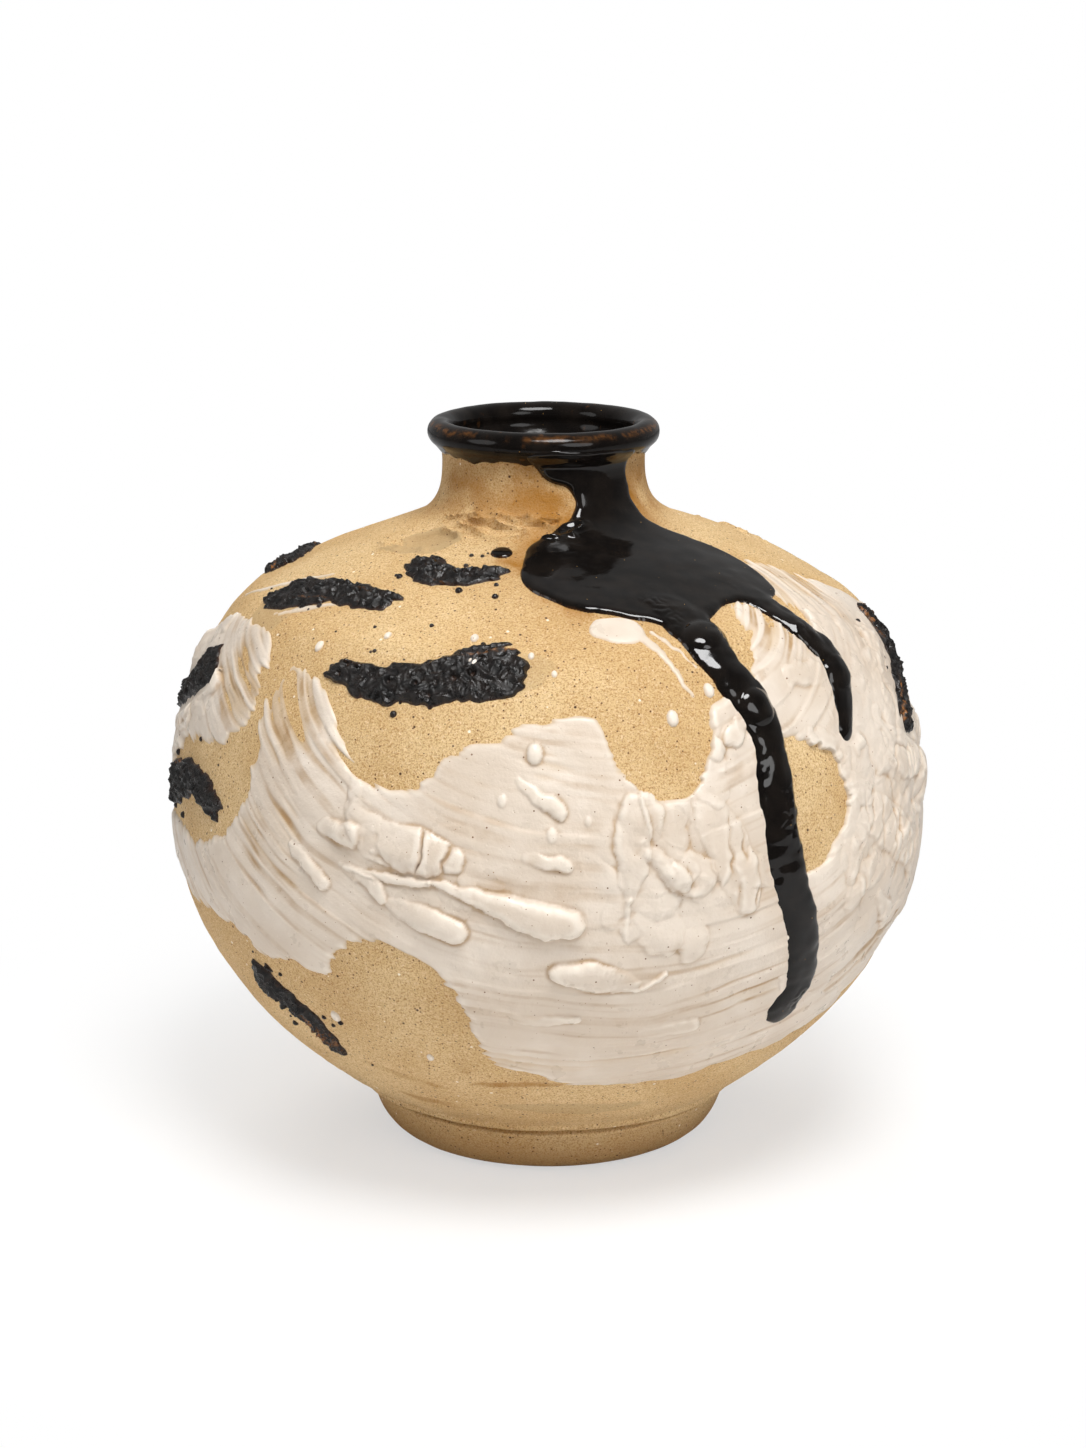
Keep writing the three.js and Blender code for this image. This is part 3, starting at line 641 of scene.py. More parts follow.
class Paint(Nodes):
    """A procedural material built round one surface shader, with a colour that is tinted step by step."""

    def __init__(self, name, cloud, one, other):
        self.material = bpy.data.materials.new(name)
        super().__init__(self.material)
        self.shader = self.first("BSDF_PRINCIPLED")
        self.coordinates = self.node("TexCoord", {}, {}).outputs["Object"]
        self.colour = self.mix(self.cloud(*cloud), one, other)

    def tint(self, share, red, green, blue):
        self.colour = self.mix(share, self.colour, srgb(red, green, blue))

    def grain(self, scale, detail, roughness=0.55):
        inputs = {"Vector": self.coordinates, "Scale": scale, "Detail": detail, "Roughness": roughness}
        return self.node("TexNoise", {}, inputs).outputs[0]

    def cloud(self, scale, detail, *span):
        """Patches of noise, mapped by a span of two values and the two that they turn into."""
        return self.ramp(self.grain(scale, detail), *span)

    def specks(self, scale, size, share):
        """Small round spots, on a share of the cells."""
        cells = self.node("TexVoronoi", {}, {"Vector": self.coordinates, "Scale": scale})
        near = self.ramp(cells.outputs["Distance"], size, 0.55 * size)
        chance = self.node("SeparateColor", {}, {"Color": cells.outputs["Color"]}).outputs[0]
        return self.math("MULTIPLY", near, self.ramp(chance, 1 - share, 1 - 0.8 * share))

    def ramp(self, value, low, high, start=0.0, end=1.0):
        inputs = {"Value": value, "From Min": low, "From Max": high, "To Min": start, "To Max": end}
        return self.node("MapRange", {"interpolation_type": "SMOOTHSTEP"}, inputs).outputs[0]

    def math(self, operation, one, other):
        return self.node("Math", {"operation": operation}, {0: one, 1: other}).outputs[0]

    def mix(self, share, one, other):
        return self.node("Mix", {"data_type": "RGBA"}, {0: share, 6: one, 7: other}).outputs[2]

    def attribute(self, name):
        return self.node("Attribute", {"attribute_name": name}, {}).outputs["Fac"]

    def patchy(self, name, *cloud):
        """A vertex paint broken up by patches of noise."""
        return self.math("MULTIPLY", self.attribute(name), self.cloud(*cloud))

    def level(self):
        return self.node("SeparateXYZ", {}, {"Vector": self.coordinates}).outputs["Z"]

    def bump(self, height, distance, strength=1.0, under=None):
        inputs = {"Height": height, "Distance": distance, "Strength": strength}
        if under is not None:
            inputs["Normal"] = under
        return self.node("Bump", {}, inputs).outputs[0]

    def finish(self, roughness, specular, normal=None):
        self.feed(self.shader.inputs["Base Color"], self.colour)
        self.feed(self.shader.inputs["Roughness"], roughness)
        self.feed(self.shader.inputs["Specular IOR Level"], specular)
        if normal is not None:
            self.feed(self.shader.inputs["Normal"], normal)
        return self.material


def srgb(red, green, blue):
    """Linear colour of an ordinary screen colour."""
    shares = [channel / 255 for channel in (red, green, blue)]
    linear = [share / 12.92 if share <= 0.04 else ((share + 0.055) / 1.055) ** 2.4 for share in shares]
    return (*linear, 1.0)


def clay_paint():
    paint = Paint("bare clay", (22, 4, 0.35, 0.68), srgb(209, 175, 123), srgb(225, 196, 147))
    sand = paint.grain(1500, 2, 0.7)
    paint.tint(paint.ramp(sand, 0.44, 0.66, 0.0, 0.8), 168, 121, 68)
    paint.tint(paint.ramp(paint.grain(1100, 2, 0.7), 0.54, 0.7, 0.0, 0.5), 242, 220, 182)
    paint.tint(paint.patchy("stain", 60, 5, 0.28, 0.66, 0.2, 1.0), 160, 106, 30)
    paint.tint(paint.attribute("smear"), 184, 155, 112)
    # Darker towards the floor: partly the foot's own toast, partly painted shade
    paint.tint(paint.ramp(paint.level(), *FOOT_TOAST_AND_SHADE, 0.0, 0.6), 164, 122, 72)
    paint.tint(paint.specks(210, 0.14, 0.3), 80, 50, 28)
    paint.tint(paint.specks(520, 0.23, 0.4), 104, 68, 36)
    paint.tint(paint.specks(150, 0.11, 0.25), 246, 236, 216)
    normal = paint.bump(paint.grain(120, 4), 0.0008, 0.5)
    normal = paint.bump(sand, 0.0006, 0.8, normal)
    return paint.finish(paint.ramp(sand, 0.3, 0.7, 0.6, 0.85), 0.3, normal)


def slip_paint():
    paint = Paint("brushed slip", (30, 4, 0.35, 0.7), srgb(214, 198, 180), srgb(226, 213, 198))
    # Lighter on the crests of the relief: partly whiter thick slip, partly a painted highlight
    paint.tint(paint.attribute("thick_and_crest_light"), 231, 219, 204)
    paint.tint(paint.attribute("thin"), 204, 176, 138)
    # Brown brush furrows where the slip is thin, together with painted shade in creases and round the bases
    # of the dabs
    paint.tint(paint.patchy("furrows_and_crease_shade", 70, 4, 0.34, 0.66, 0.2, 1.0), 172, 136, 92)
    paint.tint(paint.specks(230, 0.1, 0.32), 120, 82, 52)
    paint.tint(paint.specks(520, 0.14, 0.22), 160, 124, 90)
    pitted = paint.math("SUBTRACT", paint.grain(900, 3, 0.6), paint.specks(420, 0.2, 0.25))
    normal = paint.bump(paint.grain(200, 3), 0.0007, 0.4)
    normal = paint.bump(pitted, 0.0003, 0.5, normal)
    return paint.finish(paint.cloud(110, 3, 0.3, 0.7, 0.26, 0.44), 0.5, normal)


def glaze_paint(name, smooth, rough, specular):
    paint = Paint(name, (120, 3, 0.35, 0.7), (0.0055, 0.0045, 0.004, 1), (0.011, 0.0085, 0.007, 1))
    paint.tint(paint.patchy("thin", 420, 3, 0.36, 0.66, 0.1, 1.0), 88, 56, 28)
    paint.tint(paint.specks(560, 0.13, 0.06), 150, 116, 66)
    normal = paint.bump(paint.grain(70, 3), 0.0008, 0.12)
    normal = paint.bump(paint.grain(420, 2), 0.0002, 0.12, normal)
    return paint.finish(paint.cloud(200, 3, 0.3, 0.75, smooth, rough), specular, normal)


def crust_paint():
    paint = Paint("black crust", (260, 3, 0.35, 0.7), srgb(14, 12, 11), srgb(34, 28, 25))
    paint.tint(paint.attribute("thin"), 62, 40, 27)
    paint.tint(paint.patchy("rust", 500, 3, 0.4, 0.62), 150, 98, 52)
    normal = paint.bump(paint.grain(620, 4, 0.65), 0.0006, 0.7)
    return paint.finish(paint.cloud(300, 3, 0.42, 0.6, 0.14, 0.5), 0.5, normal)


# Heights in metres where the darkening of the foot starts, and where it is full: partly the foot's own
# toast, partly painted shade towards the floor
FOOT_TOAST_AND_SHADE = (0.024, 0.006)
bare_clay = clay_paint()
white_slip = slip_paint()
black_glaze = glaze_paint("black glaze", 0.05, 0.13, 0.42)
rim_glaze = glaze_paint("worn black glaze", 0.08, 0.15, 0.2)
black_crust = crust_paint()


# Clay body
circle = np.linspace(-180, 180, COLUMNS, endpoint=False)
# Heights between which the rust blush at the neck comes in, and between which half of it fades
BLUSH_STARTS = (246, 262)
BLUSH_FADES = (266, 280)


def rise_rows(low, high, row):
    return np.linspace(low, high, math.ceil((high - low) / row) + 1)


def clay_rings(rises, height=0.0):
    return [on_clay(circle, np.full(COLUMNS, rise), height) for rise in rises]


def inside_rings(rises):
    rings = []
    for rise in rises:
        radius = outer.radius(rise) - WALL * np.interp(rise, outer.rise, outer.out[:, 0])
        level = np.interp(rise, outer.rise, outer.line[:, 1] - WALL * outer.out[:, 1])
        rings.append(handmade(circle, radius, level))
    return rings


def clay_paints(rings):
    """Rust blush by the poured glaze and at the neck, rusty streaks, smears, and thick glaze inside."""
    places = np.concatenate(rings)
    bearing = np.degrees(np.arctan2(places[:, 0], -places[:, 1]))
    level = places[:, 2]
    rise = np.interp(level, outer.line[:, 1], outer.rise)
    near_neck = smooth_step(level, *BLUSH_STARTS) * (1 - 0.5 * smooth_step(level, *BLUSH_FADES))
    corners = smoothed(POOL)
    solid = skin.place(corners[:, 0], corners[:, 1], 0)
    gap = np.full(len(places), FAR)
    for start, end in zip(solid, np.roll(solid, -1, axis=0)):
        gap = np.minimum(gap, to_segment(places, start, end)[0])
    by_glaze = np.exp(-gap / 6) * (0.4 + 0.6 * (bearing < 10))
    spot = smooth_step(mound(bearing, rise, DROP_STAIN) + 0.4 * noise(places, 5, 72), 0, 0.8)
    stain = 0.75 * near_neck + 0.9 * by_glaze + 0.9 * spot + 0.3 * noise(places, 14, 8) * near_neck
    streaks = 0.7 * noise(places * (1, 1, 2.5), 7, 77)
    for form in STAINS:
        stain = np.maximum(stain, form[5] * smooth_step(mound(bearing, rise, form) + streaks, 0, 0.9))
    smear = np.zeros(len(places))
    ragged = 0.35 * noise(places, 8, 73)
    for form in SMEARS:
        edge = smooth_step(mound(bearing, rise, form) + ragged, 0, 0.15)
        smear = np.maximum(smear, form[5] * edge)
    return {"stain": np.clip(stain, 0, 1), "smear": smear, "thin": np.zeros(len(places))}


def finish_piece(piece, slot, *nodes):
    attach(piece, "root")
    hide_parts(*nodes)


def clay_piece(name, outside, inside, *nodes):
    """Clay of rings up its outside, with black glaze from the first ring of its inside on."""
    rings = outside + inside
    materials = [bare_clay, black_glaze]
    piece = turned(name, rings, materials, clay_paints(rings), inside_from=len(outside))
    finish_piece(piece, "clay", *nodes)


foot_rings = []
for rise in foot.rise:
    bare = foot.place(circle, rise, 0)
    hand = 0.35 * noise(bare, 40, 5) + 0.14 * noise(bare, 11, 6)
    foot_rings.append(foot.place(circle, rise, hand * smooth_step(bare[:, 2], 0.4, 3)))
foot_piece = turned("foot_ring_clay", foot_rings, [bare_clay], clay_paints(foot_rings))
finish_piece(foot_piece, "clay", "foot_ring", "foot_lute")

lower_out = clay_rings(rise_rows(-ledge_length, SEAM_RISE, ROW))
underside = [handmade(circle, radius, UNDERSIDE) for radius in (2.0, 20.0, 45.0, 60.0, 72.0)]
lower_in = inside_rings(np.linspace(SEAM_RISE, COVE_RISE, 14))
jar_floor = [handmade(circle, radius, FLOOR) for radius in (60.0, 45.0, 25.0, 2.0)]
lower_nodes = ("lower_bowl", "equator_lute")
clay_piece("lower_bowl_clay", underside + lower_out, lower_in + jar_floor, *lower_nodes)

upper_out = clay_rings(rise_rows(SEAM_RISE, NECK_SEAM_RISE, ROW))
upper_in = inside_rings(np.linspace(NECK_SEAM_RISE, SEAM_RISE, 20))
clay_piece("upper_bowl_clay", upper_out, upper_in, "upper_bowl", "neck_lute")

neck_out = clay_rings(np.concatenate([
    rise_rows(NECK_SEAM_RISE, LIP_RISE, ROW), rise_rows(LIP_RISE, THROAT_RISE, COAT_STEP)[1:],
    rise_rows(THROAT_RISE, COAT_END - THROAT_DEPTH, 2 * ROW)[1:],
]))
neck_in = inside_rings(np.linspace(NECK_RISE - 3, NECK_SEAM_RISE, 6))
clay_piece("neck_clay", neck_out[:-1], neck_out[-1:] + neck_in, "neck_collar")


# Glaze over the mouth, with an uneven lower edge and a worn line along the lip
HEM_RISE = 4.2
WORN_EDGE = 6.8
rim_rises = np.concatenate([
    rise_rows(NECK_RISE - 10, LIP_RISE, COAT_STEP), rise_rows(LIP_RISE, THROAT_RISE, 0.4)[1:],
    rise_rows(THROAT_RISE, COAT_END, 1.2)[1:],
])
rim_bearing, rim_rise = np.meshgrid(circle, rim_rises)
round_places = handmade(rim_bearing, NECK_RADIUS + 0 * rim_rise, 0)
rim_places = skin.place(rim_bearing, rim_rise, 0)
hem = NECK_RISE + HEM_RISE + 2.4 * noise(round_places, 17, 21) + 1.2 * noise(round_places, 6, 22)
rim_depth = rim_rise - hem
rim_height = np.maximum(rounded(rim_depth, 2.6, 0.95) + 0.1 * noise(rim_places, 7, 23), SUNK)
broken = smooth_step(noise(round_places, 13, 24) + 0.8 * noise(round_places, 3, 25), -0.5, 0.3)
edge_line = rim_rise - LIP_RISE - WORN_EDGE + 0.8 * noise(round_places, 9, 26)
spots = smooth_step(noise(rim_places, 2.6, 27), 0.4, 0.7) * smooth_step(noise(rim_places, 20, 28), 0, 0.4)
lip_wear = broken * np.exp(-(edge_line**2)) + 0.5 * spots + 0.3 * np.exp(-((rim_depth / 1.2) ** 2))
rim_back = on_clay(rim_bearing[::-4], rim_rise[::-4], BOTTOM)
rim_rings = [*on_clay(rim_bearing, rim_rise, rim_height), *rim_back]
rim_thin = np.zeros((len(rim_rings), COLUMNS))
rim_thin[:len(lip_wear)] = np.clip(lip_wear, 0, 1)
rim_piece = turned("rim_glaze_coat", rim_rings, [rim_glaze], {"thin": rim_thin})
finish_piece(rim_piece, "glaze", "rim_glaze")


# Poured glaze
bearings, rises, bearing, rise, places = patch((-24, 66), (72, NECK_RISE + 14), COAT_STEP)
wobble = 0.9 * noise(places, 15, 31) + 0.5 * noise(places, 6, 32)
pool_depth = outline_depth(bearings, rises, POOL) + 1.2 * noise(places, 22, 33) + wobble
run_depth = np.maximum(along_stroke(places, LONG_RUN)[0], along_stroke(places, SHORT_RUN)[0]) + wobble
run_depth += 0.6 * noise(places, 4.5, 36)
pool_height = rounded(soft_max(pool_depth, run_depth - 3, 7), 3.0, 1.6 + 0.2 * noise(places, 30, 34))
run_crown = 1.5 + 1.3 * (1 - smooth_step(rise, 232, 262)) + 0.4 * noise(places, 14, 35)
run_crown += 0.3 * noise(places, 6, 39)
height = soft_max(pool_height, rounded(run_depth, 7.5, run_crown), 0.6)
for form in RUN_BEADS:
    height += form[5] * np.clip(mound(bearing, rise, form), 0, 1) ** 0.7 * (height > 0.3)
blisters = smooth_step(noise(places, 24, 37), 0.0, 0.3) * smooth_step(run_depth, 0.5, 3)
height += 0.7 * blisters * np.abs(noise(places, 3.4, 38))
drop = mound(bearing, rise, GLAZE_DROP)
height = np.maximum(height, np.where(drop > 0, GLAZE_DROP[5] * np.clip(drop, 0, 1) ** 0.4, 2 * drop))
pour_thin = np.clip(1 - height / 0.9, 0, 1) * (0.35 + 0.65 * smooth_step(rise, 240, 300))
pour_piece = coat("glaze_pour_coat", bearings, rises, height, black_glaze, {"thin": pour_thin})
finish_piece(pour_piece, "glaze", "glaze_pour")


# Brushed slip
# Bearing and rise left round a coat's outline, and the part of a lumpy place that each pad takes
SLIP_MARGIN = (4, 8)
PAD_SPACE = 90


def point_in(form, along, across):
    """Point of the wall at shares of a form's half length and half width from its middle."""
    at, level, half_length, half_width, degrees, _ = form
    turn = math.radians(degrees)
    right = along * half_length * math.cos(turn) - across * half_width * math.sin(turn)
    up = along * half_length * math.sin(turn) + across * half_width * math.cos(turn)
    return at + math.degrees(right / outer.radius(level)), level + up


def pads_in(form, chance):
    """Small pads of slip laid at all angles over a lumpy place, as a path and a height each."""
    for _ in range(round(form[2] * form[3] / PAD_SPACE)):
        at, level = point_in(form, *chance.uniform(-0.85, 0.85, 2))
        heading = chance.uniform(0, 360)
        length = chance.uniform(8, 20)
        width = chance.uniform(4, 9.5)
        line = (at, level, length, 0, heading, 0)
        middle, end = point_in(line, 0.5, 0), point_in(line, 1, 0)
        path = [(at, level, 0.6 * width), (*middle, width), (*end, 0.75 * width)]
        yield path, form[5] * chance.uniform(0.5, 1.0)


def lay_dab(height, seam_shades, grid, places, path, lift, over=0.75, splits=None):
    """Adds a dab pressed thin at its tail and left thick and round at its head, and the painted shade seam
    round its base.
    """
    spine = np.array(path)
    margin = spine[:, 2].max() + 3
    turn = math.degrees(margin / SHOULDER_RADIUS)
    columns = slice(*np.searchsorted(grid.bearings, [spine[:, 0].min() - turn, spine[:, 0].max() + turn]))
    rows = slice(*np.searchsorted(grid.rises, [spine[:, 1].min() - margin, spine[:, 1].max() + margin]))
    here = height[columns, rows]
    if here.size == 0:
        return
    depth, width, along, _ = along_stroke(places[columns, rows], path)
    crown = lift * (0.3 + 0.7 * smooth_step(along, 0, 0.8 * along.max()))
    dab = crown * (1 - (1 - np.clip(depth / width, 0, 1)) ** 2.6) ** 0.45
    if splits is not None:
        dab *= splits[columns, rows]
    laid = soft_max(here + over * dab, 0.5 + dab, 0.15)
    height[columns, rows] = np.where((depth > 0) & (here > 0.2), laid, here)
    # Painted shade: a brown seam round the dab's base, where shade falls
    seam_shade = smooth_step(crown, 0.8, 2.4) * np.exp(-(((depth + 0.2) / 0.45) ** 2))
    seam_shades[columns, rows] = np.maximum(seam_shades[columns, rows], seam_shade)


def warped(places, strong, weak):
    """Places pushed about by a strong and a weak wave, each as (reach, size, first seed)."""
    shifts = []
    for axis in range(3):
        push = strong[0] * noise(places, strong[1], strong[2] + axis)
        shifts.append(push + weak[0] * noise(places, weak[1], weak[2] + axis))
    return places + np.stack(shifts, axis=-1)


class Brushing:
    """Marks of a brush swung in arcs about a centre, with dry places."""

    def __init__(self, grid, centre, dry):
        places = grid.places
        across = np.radians(grid.bearing - centre[0]) * 0.9 * BELLY_RADIUS
        reach = np.hypot(across, grid.rise - centre[1])
        reach = reach + 3 * noise(places, 45, 43) + 0.8 * noise(places, 16, 59)
        swing = 120 * np.arctan2(across, centre[1] - grid.rise)
        lines = np.stack([reach, swing / 18, 0 * reach], axis=-1)
        self.broad = noise(lines, 9, 46)
        self.middle = noise(lines, 3.6, 44)
        self.fine = noise(lines, 1.8, 45)
        crests = 1 - 2.4 * np.abs(noise(lines, 7, 57))
        bristle = 0.45 * self.broad + 0.4 * self.middle + 0.25 * self.fine + 0.25 * crests
        self.dryness = 0.4 * smooth_step(noise(places, 34, 47), 0.15, 0.6)
        patchy = 0.4 * noise(places, 14, 48)
        for form in dry:
            dried = smooth_step(mound(grid.bearing, grid.rise, form) + patchy, 0, 0.9)
            self.dryness = np.maximum(self.dryness, dried)
        swipes = 0.45 * smooth_step(noise(lines, 15, 60), 0.0, 0.12) * (1 - 0.7 * self.dryness)
        self.relief = swipes + (0.22 + 0.6 * self.dryness) * bristle
        clots = noise(np.stack([reach, swing / 2.2, 0 * reach], axis=-1), 10, 61)
        self.clots = smooth_step(clots, 0.08, 0.3) * (0.8 + 0.8 * noise(places, 12, 62))

    def furrows(self):
        lines = 0.6 * self.middle + 0.5 * self.fine + 0.3 * self.broad
        return np.clip(-3.4 * lines - 0.35, 0, 1)


def lay_dabs(height, grid, bent, lumpy, chance):
    """Lays the pads, split slabs and finger dabs that fall on a coat, and returns the painted shade seams
    round their bases.
    """
    places = grid.places
    cracks = np.exp(-((noise(bent * (1, 1, 0.35), 9, 64) / 0.07) ** 2))
    splits = 1 - 0.75 * cracks + 0.35 * noise(places, 13, 65)
    seam_shades = np.zeros(height.shape)
    folded = warped(places, (2.6, 10, 74), (1.2, 4.5, 77))
    for form in lumpy:
        for path, lift in pads_in(form, chance):
            lay_dab(height, seam_shades, grid, folded, path, lift, 0.5)
    for path, lift in SLABS:
        lay_dab(height, seam_shades, grid, bent, path, lift, 0.6, splits)
    for path, lift in DABS:
        lay_dab(height, seam_shades, grid, bent, path, lift)
    return seam_shades


def drip_slip(height, depth, grid, bent, drags, splash):
    """Height with the beads, drags and splash of slip laid over it."""
    bearing, rise, places = grid.bearing, grid.rise, grid.places
    for at, level, radius in BEADS:
        rim = mound(bearing, rise, (at, level, radius, 1.4 * radius, 0, 0))
        bead = np.where(rim > 0, 0.7 * radius * np.sqrt(np.clip(rim, 0, 1)), rim)
        height = np.maximum(height, np.where(depth > 0, 0.6, 0) + bead)
    for path in drags:
        drag = rounded(along_stroke(bent, path)[0] + 0.35 * noise(places, 5, 63), 1.6, 0.45)
        height = np.maximum(height, drag)
    if splash:
        rim = mound(bearing + noise(places, 10, 55), rise + 1.2 * noise(places, 8, 56), splash)
        inner = np.clip(rim, 0, 1)
        height = np.maximum(height, np.where(rim > 0, splash[5] * inner**0.45 * (1 - 0.35 * inner), rim))
    return height


def slip_coat(name, outline, centre, lumpy, dry, drags, splash):
    """Slip within an outline, brushed in arcs about a centre, lumpy and dry in given places."""
    points = np.concatenate([np.array(outline, float)] + [np.array(path)[:, :2] for path in drags])
    grid = patch(points.min(0) - SLIP_MARGIN, points.max(0) + SLIP_MARGIN, COAT_STEP)
    bearings, rises, bearing, rise, places = grid
    brush = Brushing(grid, centre, dry)
    ragged = 2.2 * noise(places, 16, 41) + 1.4 * noise(places, 6, 42)
    bristly = (1.5 + 3.5 * brush.dryness) * (brush.middle + 0.6 * brush.fine)
    depth = outline_depth(bearings, rises, outline) + ragged + bristly
    body = 0.75 - 0.5 * brush.dryness + 0.15 * noise(places, 26, 58)
    body = body * (1 - np.exp(-np.maximum(depth, 0)))
    settled = smooth_step(depth, -0.5, 3)
    unrest = 0.5 * noise(places, 18, 49)
    heaped = [smooth_step(mound(bearing, rise, form) + unrest, 0, 0.8) * settled for form in lumpy]
    calm = 1 - 0.75 * np.max(heaped, axis=0)
    height = np.where(depth > 0, body, 0.5 * depth) + settled * calm * brush.relief
    bent = warped(places, (1.0, 7, 52), (0.5, 3, 72))
    curd = np.clip(np.abs(noise(bent, 17, 50)) / 0.22, 0, 1) ** 0.6 * (0.6 + 0.9 * noise(places, 24, 66))
    curd += 0.35 * np.abs(noise(bent, 8, 51))
    facets = np.clip(np.abs(noise(bent, 34, 78)) / 0.2, 0, 1) ** 0.5
    for form, share in zip(lumpy, heaped):
        height += share * form[5] * (0.55 * curd + 0.2 * brush.clots + 0.45 * facets - 0.2)
    seam_shades = lay_dabs(height, grid, bent, lumpy, np.random.default_rng(len(outline)))
    height = drip_slip(height, depth, grid, bent, drags, splash)
    ceiling = 1.3 + 4 * smooth_step(overlaid_gap(bearings, rises), 0, 9)
    height = -soft_max(-height, -ceiling, 0.4)
    hollow = blurred(np.maximum(height, 0), 5) - height
    low = 1 - smooth_step(height, 1.3, 2.0)
    lines_paint = brush.furrows() * (0.45 + 0.55 * brush.dryness) * calm * settled * low
    # Painted shade: brown in the hollows of the relief and round the bases of the dabs
    crease_shade_paint = np.maximum(smooth_step(hollow, 0.1, 0.6), 0.4 * seam_shades) * settled
    # Crests are lighter, partly whiter thick slip and partly a painted highlight
    paints = {
        "thin": 0.8 * np.clip(1 - height / 0.5, 0, 1),
        "thick_and_crest_light": smooth_step(-hollow, 0.05, 0.5),
        "furrows_and_crease_shade": np.maximum(lines_paint, 0.8 * crease_shade_paint),
    }
    return coat(name, bearings, rises, height, white_slip, paints, closed=False)


# Lumpy and dry places, in the form of the single marks
FRONT_LUMPS = [(17, 156, 28, 32, 60, 1.7), (-18, 150, 42, 16, -20, 1.1), (24, 194, 20, 16, 0, 1.2)]
FRONT_DRY = [
    (-43, 198, 20, 28, 60, 0), (-44, 150, 24, 26, 40, 0), (4, 70, 90, 12, 4, 0), (28, 104, 30, 24, 20, 0),
    (0, 190, 14, 8, 0, 0),
]
RIGHT_DRY = [(50, 236, 22, 30, 80, 0), (66, 254, 26, 22, 0, 0), (58, 94, 40, 18, 30, 0)]
FRONT_NODES = ["slip_hem"] + [f"slip_dab_{number}" for number in range(1, 7)]
# Coats as node, outline, centre of the brush strokes, lumpy places, dry places, drags, splash and the
# other nodes that the coat stands for
SLIP_COATS = [
    ("slip_front", SLIP_FRONT, (10, 312), FRONT_LUMPS, FRONT_DRY, DRAGS[:2], SPLASH, FRONT_NODES),
    ("slip_right", SLIP_RIGHT, (20, 300), [(60, 168, 66, 56, 80, 1.7)], RIGHT_DRY, (), None, ["slip_dab_7"]),
    (
        "slip_left", SLIP_LEFT, (-40, 300), [(-84, 186, 40, 34, 40, 1.5)], [(-60, 206, 22, 26, 60, 0)],
        DRAGS[2:], None, ["slip_dab_8"],
    ),
    (
        "slip_back_a", SLIP_BACK_A, (150, 300), [(160, 140, 40, 34, 20, 1.5)], [(130, 150, 22, 30, 60, 0)],
        (), None, ["slip_dab_9"],
    ),
    (
        "slip_back_b", SLIP_BACK_B, (210, 300), [(214, 150, 36, 34, -20, 1.5)], [(236, 150, 22, 30, 60, 0)],
        (), None, ["slip_dab_10"],
    ),
]
for node, *shape, others in SLIP_COATS:
    finish_piece(slip_coat(f"{node}_coat", *shape), "slip", node, *others)


# Rough daubs, with ragged ends, ropes, pits and crumbs round them
DAUB_MARGIN = 22
PITS = 9
CRUMBS = 14


def rough_daub(number, points, start_width, end_width, base):
    path = daub_path(points, start_width, end_width)
    spine = np.array(path)
    radius = float(outer.radius(spine[1, 1]))
    margin = np.array([math.degrees(DAUB_MARGIN / radius), DAUB_MARGIN])
    bearings, rises, bearing, rise, places = patch(
        spine[:, :2].min(0) - margin, spine[:, :2].max(0) + margin, DAUB_STEP, radius
    )
    seed = 60 + 7 * number
    depth, _, along, across = along_stroke(places, path)
    length = along.max()
    streaks = np.stack([across, along / 9, 0 * along], axis=-1)
    ends = smooth_step(np.abs(along - length / 2), 0.3 * length, 0.5 * length)
    depth += 2.0 * noise(places, 9, seed) + 1.1 * noise(places, 3.6, seed + 1)
    depth += (0.6 + 2.2 * ends) * noise(streaks, 2.4, seed + 2)
    swell = np.clip(depth / 2.5, 0, 1)
    ropes = (1 - np.abs(noise(places, 7, seed + 3))) ** 4
    curls = (1 - np.abs(noise(places + 2 * noise(places, 5, seed)[..., None], 3.6, seed + 4))) ** 3
    height = np.where(depth > 0, 0.9 * (1 - np.exp(-np.maximum(depth, 0) / 0.6)), 0.7 * depth)
    height += swell * (1.2 * ropes + 0.9 * curls + 0.35 * noise(streaks, 1.8, seed + 5))
    chance = np.random.default_rng(seed)
    for _ in range(PITS):
        share = chance.uniform(0.03, 0.97)
        sideways = chance.uniform(-0.6, 0.6)
        size = chance.uniform(0.8, 2.0)
        width = start_width + share * (end_width - start_width)
        gap = np.hypot(along - share * length, across - sideways * width) / size
        crater = 0.6 * np.exp(-((gap - 1.3) ** 2) * 6) - 1.6 * np.exp(-(gap**2) * 1.6)
        height += np.where(depth > 0.5, crater, 0)
    height = np.where(depth > 0.6, np.maximum(height, 0.3), height)
    for _ in range(CRUMBS):
        spot = spline(path)[chance.integers(0, 16)]
        at = spot[0] + math.degrees(chance.normal(0, 11) / radius)
        size = chance.uniform(0.45, 1.5)
        rim = mound(bearing, rise, (at, spot[1] + chance.normal(0, 11), size, size, 0, 0))
        height = np.maximum(height, np.where(rim > 0, 0.9 * size * np.sqrt(np.clip(rim, 0, 1)), rim))
    paints = {
        "thin": np.clip(1 - height / 0.8, 0, 1),
        "rust": smooth_step(noise(streaks, 3, seed + 6), 0.35, 0.75) * smooth_step(height, 0.4, 1.2),
    }
    return coat(f"daub_{number}_crust", bearings, rises, height + base, black_crust, paints)


for number, daub in enumerate(DAUBS, 1):
    finish_piece(rough_daub(number, *daub), "crust", f"daub_{number}")


# Stage in metres: pale floor, soft lamps and a plain white surround
FLOOR_CORNERS = [(-3, -0.6, 0), (3, -0.6, 0), (3, 5, 0), (-3, 5, 0)]
FLOOR_LEVEL = -0.0002


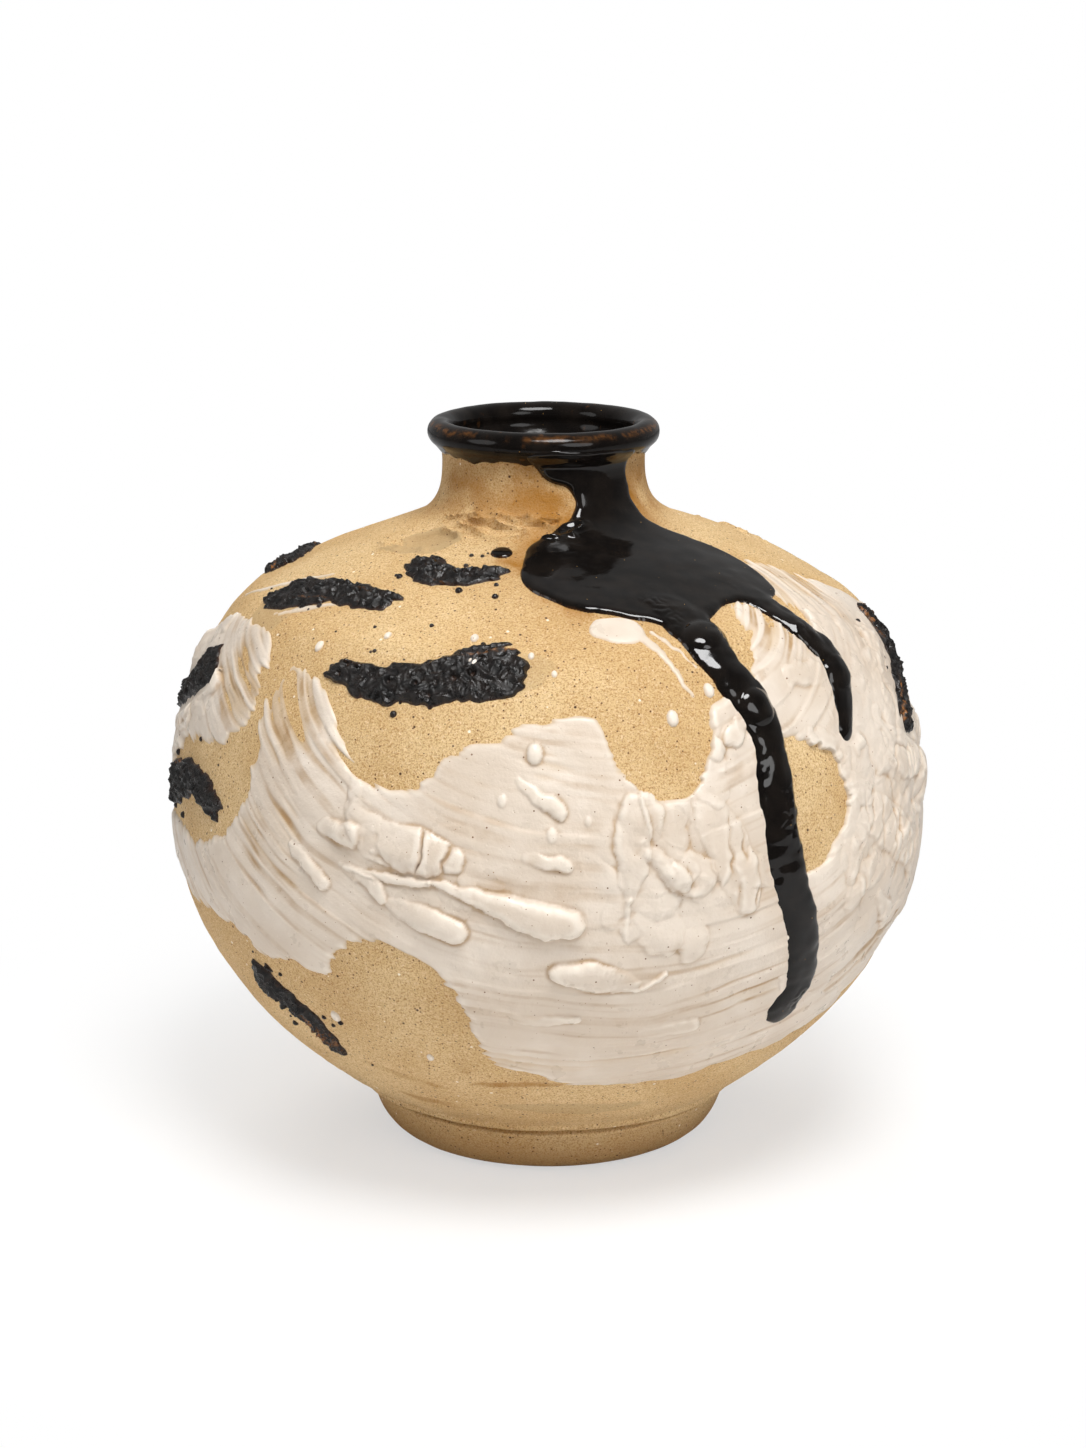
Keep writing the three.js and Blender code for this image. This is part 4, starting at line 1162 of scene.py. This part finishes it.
def floor_paint():
    """Pale floor that shows its shadow near the jar and runs out to white for the camera, painted mid grey
    in reflections so the glaze mirrors it darker.
    """
    paint = Paint("pale floor", (3, 2, 0.3, 0.7), (0.92, 0.915, 0.91, 1), (0.94, 0.935, 0.93, 1))
    light = paint.node("LightPath", {}, {}).outputs
    # Painted reflection: to glossy rays the floor is mid grey, darker than it is lit
    paint.colour = paint.mix(light["Is Glossy Ray"], paint.colour, (0.5, 0.5, 0.5, 1))
    paint.finish(0.9, 0.0)
    away = paint.node("VectorMath", {"operation": "LENGTH"}, {0: paint.coordinates}).outputs["Value"]
    share = paint.math("MULTIPLY", paint.ramp(away, 0.09, 0.33, 0.55, 1.0), light["Is Camera Ray"])
    white = paint.node("Emission", {}, {"Color": (1, 1, 1, 1), "Strength": 1.0}).outputs[0]
    mixed = paint.node("MixShader", {}, {0: share, 1: paint.shader.outputs[0], 2: white}).outputs[0]
    paint.feed(paint.first("OUTPUT_MATERIAL").inputs["Surface"], mixed)
    return paint.material


table = bpy.data.meshes.new("floor")
table.from_pydata(FLOOR_CORNERS, [], [(0, 1, 2, 3)])
table.materials.append(floor_paint())
floor_piece = bpy.data.objects.new("floor", table)
floor_piece.location.z = FLOOR_LEVEL
bpy.context.scene.collection.objects.link(floor_piece)


def lamp(name, place, aim, width, depth, power, mirrored=True):
    light = bpy.data.lights.new(name, "AREA")
    light.shape = "ELLIPSE"
    light.size = width
    light.size_y = depth
    light.energy = power
    holder = bpy.data.objects.new(name, light)
    holder.location = place
    direction = np.array(aim) - np.array(place)
    tilt = math.acos(-direction[2] / np.linalg.norm(direction))
    holder.rotation_euler = (tilt, 0, math.atan2(direction[0], -direction[1]) + math.pi)
    holder.visible_glossy = mirrored
    bpy.context.scene.collection.objects.link(holder)


lamp("overhead softbox", (0.2, -0.7, 1.5), (0, 0, 0.1), 0.7, 0.6, 20)
lamp("front softbox", (0.9, -1.5, 0.95), (0, 0, 0.12), 0.9, 0.9, 7.5)
lamp("left softbox", (-1.6, -0.7, 0.9), (0, 0, 0.12), 0.8, 1.0, 4)
lamp("back softbox", (-0.3, 1.4, 1.5), (0, 0, 0.12), 1.2, 0.9, 14, mirrored=False)

# Surround: white to the camera, an even glow for soft light, and in reflections dimmer at the front
world = bpy.data.worlds.new("surround")
bpy.context.scene.world = world
sky = Nodes(world)
rays = sky.node("LightPath", {}, {}).outputs
coordinates = sky.node("TexCoord", {}, {}).outputs["Generated"]
facing = sky.node("SeparateXYZ", {}, {0: coordinates}).outputs["Y"]
spread = {"Value": facing, "From Min": -0.25, "From Max": 0.6, "To Min": 0.04, "To Max": 0.3}
behind = sky.node("MapRange", {}, spread).outputs[0]
mirrored = sky.node("Mix", {}, {0: rays["Is Glossy Ray"], 2: 0.28, 3: behind}).outputs[0]
shown = sky.node("Mix", {}, {0: rays["Is Camera Ray"], 2: mirrored, 3: 1.0}).outputs[0]
background = sky.first("BACKGROUND")
sky.feed(background.inputs["Strength"], shown)
background.inputs["Color"].default_value = (1, 1, 1, 1)

# Camera, with its dip in degrees
CAMERA_PLACE = (-0.0019, -1.1, 0.4624)
CAMERA_DIP = 15.09
CAMERA_LENS = 70.34
CAMERA_SENSOR = 36
scene = bpy.context.scene
scene.view_settings.view_transform = "Standard"
view = bpy.data.cameras.new("camera")
view.lens = CAMERA_LENS
view.sensor_width = CAMERA_SENSOR
camera = bpy.data.objects.new("camera", view)
camera.location = CAMERA_PLACE
camera.rotation_euler = (math.radians(90 - CAMERA_DIP), 0, 0)
scene.collection.objects.link(camera)
scene.camera = camera
